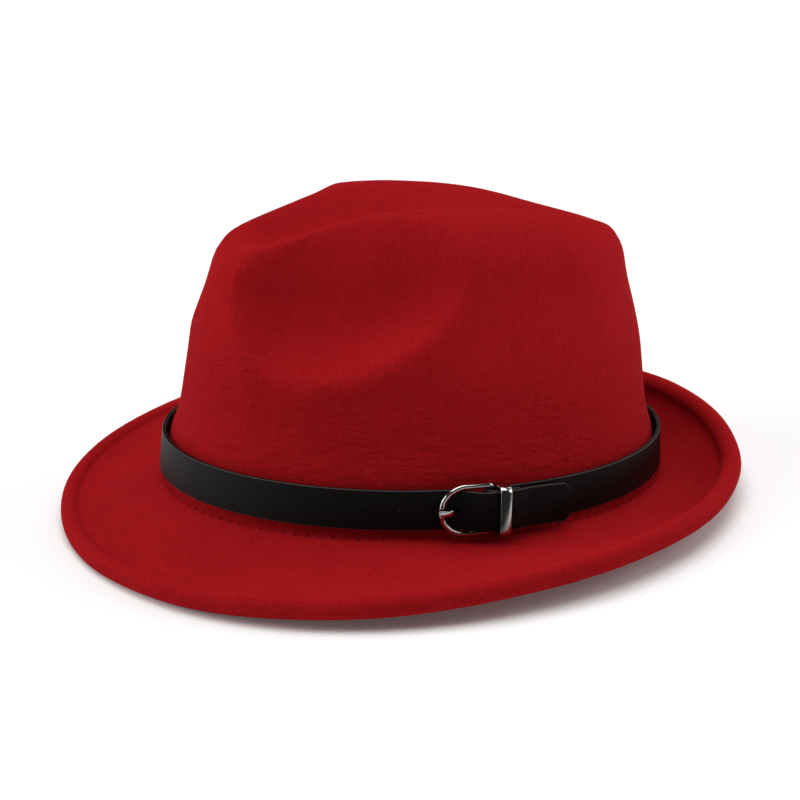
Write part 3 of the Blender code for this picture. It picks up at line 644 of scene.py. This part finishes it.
def grid_piece(name, points, material, uv=None, looped=False, caps=True):
    """Object from rings of points. A looped grid joins its last ring to its first one."""
    count, size = points.shape[:2]
    ring = np.arange(count if looped else count - 1)[:, None]
    k = np.arange(size)[None, :]
    after = (k + 1) % size
    there = (ring + 1) % count
    quads = np.stack([ring * size + k, ring * size + after, there * size + after, there * size + k], axis=-1)
    faces = quads.reshape(-1, 4).tolist()
    if caps and not looped:
        faces.append(list(range(size))[::-1])
        faces.append(list(range((count - 1) * size, count * size)))
    mesh = bpy.data.meshes.new(name)
    mesh.from_pydata(points.reshape(-1, 3).tolist(), [], faces)
    if uv is not None:
        layer = mesh.uv_layers.new(name="along_and_across")
        corners = np.stack([uv[ring, k], uv[ring, k + 1], uv[there, k + 1], uv[there, k]], axis=2)
        flat = np.zeros(len(mesh.loops) * 2)
        flat[: corners.size] = corners.reshape(-1)
        layer.data.foreach_set("uv", flat)
    return finish_piece(name, mesh, material)


def finish_piece(name, mesh, material):
    """Object from a mesh, with its faces turned outwards."""
    work = bmesh.new()
    work.from_mesh(mesh)
    bmesh.ops.recalc_face_normals(work, faces=work.faces)
    if work.calc_volume(signed=True) < 0.0:
        bmesh.ops.reverse_faces(work, faces=work.faces)
    work.to_mesh(mesh)
    work.free()
    smoothed(mesh)
    mesh.materials.append(material)
    return added(name, mesh)


def added(name, data):
    """New object in the scene."""
    made = bpy.data.objects.new(name, data)
    bpy.context.scene.collection.objects.link(made)
    return made


def settled(piece):
    """Turn a piece's modifiers into its mesh."""
    graph = bpy.context.evaluated_depsgraph_get()
    mesh = bpy.data.meshes.new_from_object(piece.evaluated_get(graph))
    piece.modifiers.clear()
    piece.data = mesh
    smoothed(mesh)
    return piece


def smoothed(mesh):
    mesh.shade_smooth()
    mesh.set_sharp_from_angle(angle=SMOOTH_ANGLE)


def bevelled(piece, width, segments):
    """Piece with its sharp edges rounded."""
    modifier = piece.modifiers.new("edges", "BEVEL")
    modifier.width = width
    modifier.segments = segments
    modifier.limit_method = "ANGLE"
    modifier.angle_limit = BEVEL_ANGLE
    modifier.harden_normals = False
    return settled(piece)


def placed(points, place):
    """Points of the hat's own frame in the world."""
    matrix = np.array(place)
    return np.asarray(points) @ matrix[:3, :3].T + matrix[:3, 3]


def laid_flat(points, place):
    """The same, with whatever would reach under the floor laid flat on it."""
    world = placed(points, place)
    world[..., 2] = np.maximum(world[..., 2], 0.0)
    return world


class Shader:
    """A material's node tree, with one short call for each kind of node used here."""

    def __init__(self, name):
        self.material = bpy.data.materials.new(name)
        self.material.use_nodes = True
        self.tree = self.material.node_tree
        self.main = self.tree.nodes["Principled BSDF"]
        self.place = self.node("ShaderNodeTexCoord").outputs["Object"]

    def node(self, kind, **settings):
        made = self.tree.nodes.new(kind)
        for key, value in settings.items():
            setattr(made, key, value)
        return made

    def feed(self, socket, value):
        if isinstance(value, bpy.types.NodeSocket):
            self.tree.links.new(value, socket)
        else:
            socket.default_value = value

    def set(self, **values):
        """Set or feed the main shader's sockets. An underscore in a name stands for a space."""
        for key, value in values.items():
            self.feed(self.main.inputs[key.replace("_", " ")], value)

    def noise(self, scale, detail=2.0, roughness=0.5, distortion=0.0, vector=None):
        made = self.node("ShaderNodeTexNoise")
        self.feed(made.inputs["Vector"], vector or self.place)
        for key, value in (
            ("Scale", scale),
            ("Detail", detail),
            ("Roughness", roughness),
            ("Distortion", distortion),
        ):
            made.inputs[key].default_value = value
        return made.outputs["Fac"]

    def cell_edges(self, scale):
        made = self.node("ShaderNodeTexVoronoi", feature="DISTANCE_TO_EDGE")
        self.feed(made.inputs["Vector"], self.place)
        made.inputs["Scale"].default_value = scale
        return made.outputs["Distance"]

    def stretched(self, vector, scale):
        made = self.node("ShaderNodeMapping")
        self.feed(made.inputs["Vector"], vector)
        made.inputs["Scale"].default_value = scale
        return made.outputs["Vector"]

    def spread(self, value, low, high, to_low=0.0, to_high=1.0):
        """Value from low..high to another range, smoothly and within its ends."""
        made = self.node("ShaderNodeMapRange", interpolation_type="SMOOTHSTEP")
        for key, amount in (
            ("Value", value),
            ("From Min", low),
            ("From Max", high),
            ("To Min", to_low),
            ("To Max", to_high),
        ):
            self.feed(made.inputs[key], amount)
        return made.outputs["Result"]

    def maths(self, operation, first, second=0.0):
        made = self.node("ShaderNodeMath", operation=operation)
        self.feed(made.inputs[0], first)
        self.feed(made.inputs[1], second)
        return made.outputs[0]

    def mixed(self, share, first, second):
        made = self.node("ShaderNodeMix", data_type="RGBA")
        self.feed(made.inputs["Factor"], share)
        self.feed(made.inputs[6], first)
        self.feed(made.inputs[7], second)
        return made.outputs[2]

    def bump(self, height, depth, normal=None):
        made = self.node("ShaderNodeBump")
        made.inputs["Strength"].default_value = 1.0
        made.inputs["Distance"].default_value = depth
        self.feed(made.inputs["Height"], height)
        if normal is not None:
            self.feed(made.inputs["Normal"], normal)
        return made.outputs["Normal"]

    def attribute(self, name):
        return self.node("ShaderNodeAttribute", attribute_name=name).outputs["Fac"]

    def along_and_across(self):
        """The two numbers of the mesh's own map: metres along and metres across."""
        parts = self.node("ShaderNodeSeparateXYZ")
        uv = self.node("ShaderNodeUVMap", uv_map="along_and_across").outputs["UV"]
        self.feed(parts.inputs[0], uv)
        return uv, parts.outputs["X"], parts.outputs["Y"]


def felt_material():
    """Wool felt: mottled red, a short tangled nap, faint level creases and dents of a seam's stitches,
    darkened with painted shade.
    """
    felt = Shader("red_felt")
    uv, along, across = felt.along_and_across()
    cloud = felt.spread(felt.noise(FELT_CLOUD, 3.0), 0.3, 0.7)
    mottle = felt.spread(felt.noise(FELT_MOTTLE, 3.0, 0.6, 0.4), 0.35, 0.65)
    nap = felt.noise(FELT_NAP, 3.0, 0.65, 0.8)
    fibre = felt.noise(FELT_FIBRE, 2.0, 0.6, 2.0)
    tone = felt.mixed(felt.maths("MULTIPLY", cloud, 0.6), FELT_DEEP, FELT_RED)
    tone = felt.mixed(felt.maths("MULTIPLY", mottle, 0.18), tone, FELT_BRIGHT)
    tone = felt.mixed(felt.spread(nap, 0.50, 0.72, 0.0, 0.24), tone, FELT_PALE)
    tone = felt.mixed(felt.spread(fibre, 0.58, 0.78, 0.0, 0.25), tone, FELT_PALE)
    tone = felt.mixed(felt.spread(nap, 0.28, 0.48, 0.30, 0.0), tone, FELT_DARK)

    turn = felt.maths("FRACT", felt.maths("DIVIDE", along, STITCH_PITCH))
    from_middle = felt.maths("ABSOLUTE", felt.maths("SUBTRACT", turn, 0.5))
    in_length = felt.spread(from_middle, 0.6 * STITCH_SHARE, 1.4 * STITCH_SHARE, 1.0, 0.0)
    off_line = felt.maths("ABSOLUTE", felt.maths("SUBTRACT", across, STITCH_LINE))
    in_width = felt.spread(off_line, 0.3 * STITCH_WIDTH, STITCH_WIDTH, 1.0, 0.0)
    pulled = felt.spread(felt.noise(STITCH_PULL, 2.0), 0.35, 0.65, 0.45, 1.0)
    stitch = felt.maths("MULTIPLY", felt.maths("MULTIPLY", in_length, in_width), pulled)
    # Painted shade: the stitch dents are darkened towards the felt's dark tone.
    tone = felt.mixed(felt.maths("MULTIPLY", stitch, STITCH_PAINTED_SHADE), tone, FELT_DARK)

    wrinkles = felt.noise(1.0, 2.0, 0.55, 0.5, vector=felt.stretched(uv, WRINKLE_SCALE))
    low_crown = felt.spread(across, *WRINKLE_TOP, 0.0, 1.0)
    above_belt = felt.spread(across, *WRINKLE_FOOT, 1.0, 0.0)
    patches = felt.spread(felt.noise(WRINKLE_PATCH, 2.0), 0.38, 0.60, 0.25, 1.0)
    where = felt.maths("MULTIPLY", felt.maths("MULTIPLY", low_crown, above_belt), patches)
    normal = felt.bump(felt.maths("MULTIPLY", wrinkles, where), WRINKLE_DEPTH)
    normal = felt.bump(felt.noise(FELT_LUMP, 2.0, 0.5), LUMP_DEPTH, normal)
    dented = felt.maths("SUBTRACT", nap, felt.maths("MULTIPLY", stitch, STITCH_DEPTH))
    normal = felt.bump(dented, NAP_DEPTH, normal)
    normal = felt.bump(fibre, FIBRE_DEPTH, normal)
    felt.set(
        Base_Color=tone,
        Roughness=0.95,
        Specular_IOR_Level=0.02,
        Sheen_Weight=0.20,
        Sheen_Roughness=0.40,
        Sheen_Tint=FELT_SHEEN,
        Normal=normal,
    )
    return felt.material


def leather_material():
    """Smooth black leather: fine pebbled grain, a few soft rubs, and paler edges, partly edge paint and
    partly a painted highlight.
    """
    leather = Shader("black_leather")
    grain = leather.cell_edges(LEATHER_GRAIN)
    pores = leather.noise(LEATHER_PORES, 3.0, 0.6)
    rubs = leather.spread(leather.noise(LEATHER_RUBS, 4.0, 0.7, 1.0), 0.45, 0.75)
    # Paler rounded edges: partly edge paint, partly a painted highlight.
    edge_paint_and_highlight = leather.maths("MULTIPLY", leather.attribute("edge"), leather.spread(pores, 0.3, 0.6, 0.6, 1.0))
    tone = leather.mixed(rubs, LEATHER_BLACK, LEATHER_SOFT)
    tone = leather.mixed(edge_paint_and_highlight, tone, LEATHER_EDGE_PAINT_AND_HIGHLIGHT)
    normal = leather.bump(leather.spread(grain, 0.0, 0.25), GRAIN_DEPTH)
    normal = leather.bump(pores, PORE_DEPTH, normal)
    leather.set(
        Base_Color=tone,
        Roughness=leather.spread(pores, 0.3, 0.7, *LEATHER_ROUGHNESS),
        Specular_IOR_Level=LEATHER_GLOSS,
        Normal=normal,
    )
    return leather.material


def chrome_material(name, lean=0.0):
    """Bright plating with fine hairlines from polishing and wear, on faces that may lean back a little."""
    chrome = Shader(name)
    hairs = chrome.noise(1.0, 2.0, 0.6, vector=chrome.stretched(chrome.place, HAIRLINES))
    haze = chrome.noise(CHROME_HAZE, 3.0)
    parts = chrome.node("ShaderNodeSeparateXYZ")
    chrome.feed(parts.inputs[0], chrome.place)
    leaning = chrome.bump(chrome.maths("MULTIPLY", parts.outputs["Z"], -math.tan(lean)), 1.0)
    chrome.set(
        Base_Color=CHROME,
        Metallic=1.0,
        Roughness=chrome.spread(haze, 0.35, 0.70, *CHROME_ROUGHNESS),
        Normal=chrome.bump(hairs, HAIRLINE_DEPTH, leaning),
    )
    return chrome.material


def make_felt(place, material):
    """The felt cap as one fine sheet with a thickness, laid where the plain solid of it lies."""
    turns = np.linspace(0.0, 2 * math.pi, FINE_DIRECTIONS, endpoint=False)
    steps = (FINE_CROWN_STEPS, FINE_FILLET_STEPS, FINE_BRIM_STEPS, FINE_GROOVE_STEPS, FINE_ROLL_STEPS)
    rings = felt_rings(turns, *steps)
    base = sum(FINE_CROWN_STEPS) - FINE_CROWN_STEPS[0] + FINE_FILLET_STEPS // 2
    stretch = np.linalg.norm(np.diff(rings, axis=0), axis=-1)
    across = np.concatenate([np.zeros((1, FINE_DIRECTIONS)), np.cumsum(stretch, axis=0)])
    across = across - across[base]
    way = np.linalg.norm(np.roll(rings[base], -1, axis=0) - rings[base], axis=-1)
    along = np.concatenate([[0.0], np.cumsum(way)])
    across = np.concatenate([across, across[:, :1]], axis=1)
    uv = np.stack([np.broadcast_to(along, across.shape), across], axis=-1)
    return grid_piece("felt", laid_flat(relaxed(rings), place), material, uv=uv, caps=False)


def relaxed(rings):
    """Felt is never quite even: a soft waver of the whole sheet, the same on both its faces."""
    rolled = FINE_ROLL_STEPS + 1 + 2 * (FINE_GROOVE_STEPS - 1)
    top = (len(rings) - rolled) // 2
    wavered = rings.copy()
    for ring in range(top):
        for k in range(rings.shape[1]):
            point = Vector(rings[ring, k])
            shift = noise.noise_vector(point * WAVER_SCALE) * WAVER
            wavered[ring, k] += shift
            wavered[len(rings) - 1 - ring, k] += shift
    wavered[top:-top] += wavered[top - 1] - rings[top - 1]
    return wavered


def rounded_box(low, high, half_height, radius):
    """Level and height of the points round a box with rounded corners."""
    points = []
    corners = ((high, 1, 0.0), (low, 1, 90.0), (low, -1, 180.0), (high, -1, 270.0))
    for edge, sign, start in corners:
        centre = edge - radius if edge == high else edge + radius
        for k in range(CORNER_STEPS + 1):
            turn = math.radians(start + 90.0 * k / CORNER_STEPS)
            height = sign * (half_height - radius) + radius * math.sin(turn)
            points.append((centre + radius * math.cos(turn), height))
    return points


def strap_rings(belt, path):
    """Outlines of the leather across the belt, one for each place on its middle line."""
    line = np.array([belt.point(d, r, 0.0)[:2] for d, r in path])
    side = across_line(line)
    rings = []
    for k, (d, r) in enumerate(path):
        beyond = max(d - belt.round - KEEPER_END, 0.0) / (FREE_END - KEEPER_END)
        drop = FREE_END_DROOP * beyond**2
        past = max(d - belt.round - (FREE_END - TIP_CHAMFER), 0.0)
        half = BELT_WIDTH / 2 - past
        thin = TIP_THINNING if k == len(path) - 1 else 1.0
        ring = []
        thick = BELT_THICKNESS / 2 * thin
        rounding = min(STRAP_ROUNDING, thick * MOST_ROUNDING)
        for out, height in rounded_box(-thick, thick, half, rounding):
            lean = belt.point(d, r, height)[:2] - line[k]
            flat = line[k] + lean + side[k] * out
            ring.append((*flat, belt.middle + height - drop))
        rings.append(ring)
    return np.array(rings)


def make_cutter(belt, centre, size, sides, place):
    """Upright cutter at a place on the belt: a drum if it has many sides, a box if it has four."""
    distance, low, high = centre
    reach = 1 / math.cos(math.pi / sides) if sides == 4 else 1.0
    rings = []
    for r in (low, high):
        ring = []
        for k in range(sides):
            turn = 2 * math.pi * (k + 0.5) / sides
            along = distance + size[0] / 2 * reach * math.cos(turn)
            ring.append(belt.point(along, r, size[1] / 2 * reach * math.sin(turn)))
        rings.append(ring)
    material = bpy.data.materials.new("cutter")
    return grid_piece("cutter", placed(rings, place), material)


def make_strap(belt, place, material):
    """The belt's leather with its holes, and a mark on its cut edges for their paler colour, partly edge
    paint and partly a painted highlight.
    """
    rings = strap_rings(belt, belt_path(belt))
    strap = grid_piece("belt_leather", placed(rings, place), material)
    edge = strap.data.attributes.new("edge", "FLOAT", "POINT")
    size = rings.shape[1]
    share = np.zeros(size)
    for corner_start in range(0, size, CORNER_STEPS + 1):
        for k in range(CORNER_STEPS + 1):
            share[corner_start + k] = math.sin(math.pi * k / CORNER_STEPS) ** 2
    edge.data.foreach_set("value", np.tile(share, len(rings)))
    cutters = []
    for k in range(HOLE_COUNT):
        distance = -PRONG_HOLE_PLACE + (k - HOLES_BEFORE_PRONG) * HOLE_SPACING
        distance += PRONG_HOLE_SHIFT if k == HOLES_BEFORE_PRONG else 0.0
        # Blind holes: a dark floor of leather stands in for the shade inside them; the prong's own hole goes
        # through.
        low = HOLE_SHADE_FLOOR - BELT_THICKNESS / 2 + (OVER_FOLD if k > HOLES_BEFORE_PRONG else ON_CROWN)
        low = -BELT_THICKNESS if k == HOLES_BEFORE_PRONG else low
        wide = PRONG_HOLE if k == HOLES_BEFORE_PRONG else (HOLE_DIAMETER, HOLE_DIAMETER)
        centre = (distance, low, OVER_FOLD + BELT_THICKNESS)
        cutters.append(make_cutter(belt, centre, wide, HOLE_SIDES, place))
    slot_length = 2 * (FOLD_RADIUS + BELT_THICKNESS / 2 + GAP)
    centre = (0.0, -BELT_THICKNESS, OVER_FOLD - BELT_THICKNESS / 2 - GAP / 2)
    cutters.append(make_cutter(belt, centre, (slot_length, PRONG_WIDTH + 2 * GAP), 4, place))
    for cutter in cutters:
        modifier = strap.modifiers.new("hole", "BOOLEAN")
        modifier.operation = "DIFFERENCE"
        modifier.solver = "EXACT"
        modifier.object = cutter
    settled(strap)
    for cutter in cutters:
        bpy.data.objects.remove(cutter)
    strap.data.materials.clear()
    strap.data.materials.append(material)
    return strap


def frame_path():
    """Closed path of the D as distance, level and height, and how many of its points lie on the bar."""
    half = (BUCKLE_HEIGHT - WIRE) / 2
    bend = half - BELT_WIDTH / 2 - GAP
    straight = BUCKLE_LENGTH - WIRE / 2 - half
    quarter = np.radians(BEND_ANGLES)
    path = [(0.0, h) for h in np.linspace(-half + bend, half - bend, BAR_POINTS)]
    on_bar = len(path)
    path += [(-bend + bend * math.cos(a), half - bend + bend * math.sin(a)) for a in quarter]
    path += [(d, half) for d in np.linspace(-bend, -straight, ARM_POINTS)]
    for k in range(1, ARCH_STEPS):
        turn = math.pi * k / ARCH_STEPS
        path.append((-straight - half * math.sin(turn), half * math.cos(turn)))
    path += [(d, -half) for d in np.linspace(-straight, -bend, ARM_POINTS)]
    path += [(-bend + bend * math.cos(a), -half + bend - bend * math.sin(a)) for a in quarter[::-1]]
    levels = [BAR_LEVEL - BUCKLE_RISE * d / BUCKLE_LENGTH for d, _ in path]
    return np.array([(d, r, h) for (d, h), r in zip(path, levels, strict=True)]), on_bar


def make_frame(belt, place, material):
    """The D: a round wire with a seat for the prong between two small shoulders."""
    path, on_bar = frame_path()
    way = np.roll(path, -1, axis=0) - np.roll(path, 1, axis=0)
    way = way / np.linalg.norm(way, axis=1, keepdims=True)
    rings = []
    for k, centre in enumerate(path):
        side = np.cross(way[k], (0.0, 1.0, 0.0))
        side = side / np.linalg.norm(side)
        out = np.cross(side, way[k])
        size = BAR / 2 if k < on_bar else WIRE / 2
        from_seat = abs(centre[2]) / SEAT_HALF if centre[0] < -BUCKLE_LENGTH / 2 else NO_SEAT
        top = 1.0 - SEAT_DIP * float(eased(2.0 - 2.0 * from_seat))
        top += SHOULDER * math.exp(-(((from_seat - SHOULDER_PLACE) / SHOULDER_WIDTH) ** 2))
        ring = []
        for turn in np.linspace(0.0, 2 * math.pi, WIRE_POINTS, endpoint=False):
            rise = WIRE_FLATNESS * math.sin(turn)
            rise = rise * top if rise > 0.0 else rise
            offset = size * (math.cos(turn) * side + rise * out)
            ring.append(belt.point(*(centre + offset)))
        rings.append(ring)
    return grid_piece("buckle_loop", placed(rings, place), material, looped=True)


def make_prong(belt, place, material):
    """The flat prong: an open eye round the bar, then a tongue of the same width all along."""
    half = PRONG_THICKNESS / 2
    rest = BAR_LEVEL + BUCKLE_RISE + WIRE / 2 + GAP + half
    low = ON_CROWN - GAP
    eye = BAR / 2 + GAP + PRONG_EYE_WALL / 2
    path = []
    for k in range(EYE_STEPS + 1):
        turn = math.radians(EYE_START + (EYE_END - EYE_START) * k / EYE_STEPS)
        path.append((eye * math.cos(turn), BAR_LEVEL + eye * math.sin(turn), PRONG_EYE_WALL / 2))
    rows = [(share * BUCKLE_LENGTH, low + rise * (rest - low)) for share, rise in PRONG_PATH]
    path += [(d, r, half) for d, r in through_rows(rows, np.linspace(0.0, len(rows) - 1, ARCH_STEPS + 1))]
    side = across_line(np.array([(d, r) for d, r, _ in path]))
    rings = []
    for k, (d, r, thick) in enumerate(path):
        wide = PRONG_WIDTH / 2
        rings.append([
            belt.point(d + side[k][0] * thick * across, r + side[k][1] * thick * across, height * wide)
            for across, height in ((-1, -1), (1, -1), (1, 1), (-1, 1))
        ])
    return bevelled(grid_piece("buckle_tongue", placed(rings, place), material), PRONG_EDGE, 3)


def make_keeper(belt, place, material):
    """Metal loop round all layers of the belt, with a domed front."""
    half = KEEPER_HEIGHT / 2
    top = OVER_FOLD + BELT_THICKNESS / 2 + GAP + KEEPER_WALL
    outer, inner = [], []
    for share in np.linspace(-1.0, 1.0, KEEPER_STEPS + 1):
        distance = KEEPER_PLACE + share * KEEPER_WIDTH / 2
        dome = KEEPER_DOME * (1 - share * share)
        outer_box = rounded_box(KEEPER_SEAT, top + dome, half, KEEPER_CORNER)
        inner_corner = KEEPER_CORNER - KEEPER_WALL
        inner_half = half - KEEPER_WALL
        inner_box = rounded_box(KEEPER_SEAT + KEEPER_WALL, top - KEEPER_WALL, inner_half, inner_corner)
        outer.append([belt.point(distance, r, h) for r, h in outer_box])
        inner.append([belt.point(distance, r, h) for r, h in inner_box])
    rings = outer + inner[::-1]
    return bevelled(grid_piece("buckle_band", placed(rings, place), material, looped=True), KEEPER_EDGE, 2)


def make_camera():
    """Camera from its place, the way it looks and how far it is rolled."""
    az, el, roll = (math.radians(a) for a in (CAMERA_AZIMUTH, CAMERA_ELEVATION, CAMERA_ROLL))
    right = Vector((math.cos(az), math.sin(az), 0.0))
    back = Vector((math.sin(az) * math.cos(el), -math.cos(az) * math.cos(el), math.sin(el)))
    up = back.cross(right)
    rolled_right = right * math.cos(roll) + up * math.sin(roll)
    rolled_up = up * math.cos(roll) - right * math.sin(roll)
    data = bpy.data.cameras.new("camera")
    data.lens = CAMERA_LENS
    data.sensor_width = SENSOR_WIDTH
    data.clip_start, data.clip_end = CLIP
    camera = added("camera", data)
    camera.matrix_world = Matrix((rolled_right, rolled_up, back)).transposed().to_4x4()
    camera.location = CAMERA_PLACE
    bpy.context.scene.camera = camera


def make_light(name, side, towards, up, width, height, power):
    """Soft box, placed from where the camera stands: metres to its right, towards it, and up."""
    az = math.radians(CAMERA_AZIMUTH)
    right = Vector((math.cos(az), math.sin(az), 0.0))
    back = Vector((math.sin(az), -math.cos(az), 0.0))
    data = bpy.data.lights.new(name, "AREA")
    data.shape = "RECTANGLE"
    data.size, data.size_y = width, height
    data.energy = power
    light = added(name, data)
    light.location = right * side + back * towards + Vector((0.0, 0.0, up))
    aim = LIGHT_AIM - light.location
    light.rotation_mode = "QUATERNION"
    light.rotation_quaternion = aim.to_track_quat("-Z", "Y")


def make_studio():
    """White floor that glows more the further it lies from the hat, dim surroundings and soft boxes."""
    mesh = bpy.data.meshes.new("floor")
    reach = FLOOR_SIZE / 2
    corners = ((-reach, -reach), (reach, -reach), (reach, reach), (-reach, reach))
    mesh.from_pydata([(x, y, -FLOOR_DROP) for x, y in corners], [], [(0, 1, 2, 3)])
    floor = added("floor", mesh)
    paint = Shader("floor")
    tint = paint.spread(paint.noise(FLOOR_CLOUD, 2.0), 0.3, 0.7)
    away = paint.node("ShaderNodeVectorMath", operation="LENGTH")
    paint.feed(away.inputs[0], paint.place)
    glow = paint.spread(away.outputs["Value"], GLOW_START, GLOW_END, NEAR_GLOW, FAR_GLOW)
    paint.set(
        Base_Color=paint.mixed(tint, FLOOR_TONE, FLOOR_TONE_SOFT),
        Roughness=0.85,
        Emission_Color=FLOOR_TONE,
        Emission_Strength=glow,
    )
    mesh.materials.append(paint.material)
    world = bpy.data.worlds.new("surroundings")
    world.use_nodes = True
    sky = world.node_tree.nodes["Background"]
    sky.inputs["Color"].default_value = SKY
    sky.inputs["Strength"].default_value = SKY_STRENGTH
    bpy.context.scene.world = world
    for row in LIGHTS:
        make_light(*row)


def main():
    """Studio, camera and the five pieces, laid where the plain hat rests."""
    bpy.context.scene.view_settings.view_transform = "Standard"
    noise.seed_set(WAVER_SEED)
    coarse = np.linspace(0.0, 2 * math.pi, DIRECTIONS, endpoint=False)
    coarse = coarse - END_CROWDING * np.sin(2 * coarse) / 2
    steps = (CROWN_STEPS, FILLET_STEPS, BRIM_STEPS, GROOVE_STEPS, ROLL_STEPS)
    place = placing(felt_rings(coarse, *steps))
    make_camera()
    make_studio()
    felt, leather, chrome = felt_material(), leather_material(), chrome_material("chrome")
    keeper_chrome = chrome_material("keeper_chrome", KEEPER_LEAN)
    belt = Belt()
    made = (
        (make_felt(place, felt), "hat_body", "red_felt"),
        (make_strap(belt, place, leather), "belt_strap", "black_leather"),
        (make_frame(belt, place, chrome), "buckle_frame", "chrome"),
        (make_prong(belt, place, chrome), "buckle_prong", "chrome"),
        (make_keeper(belt, place, keeper_chrome), "buckle_keeper", "chrome"),
    )
    for piece, node, slot in made:
        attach(piece, "root")
        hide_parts(node)


main()
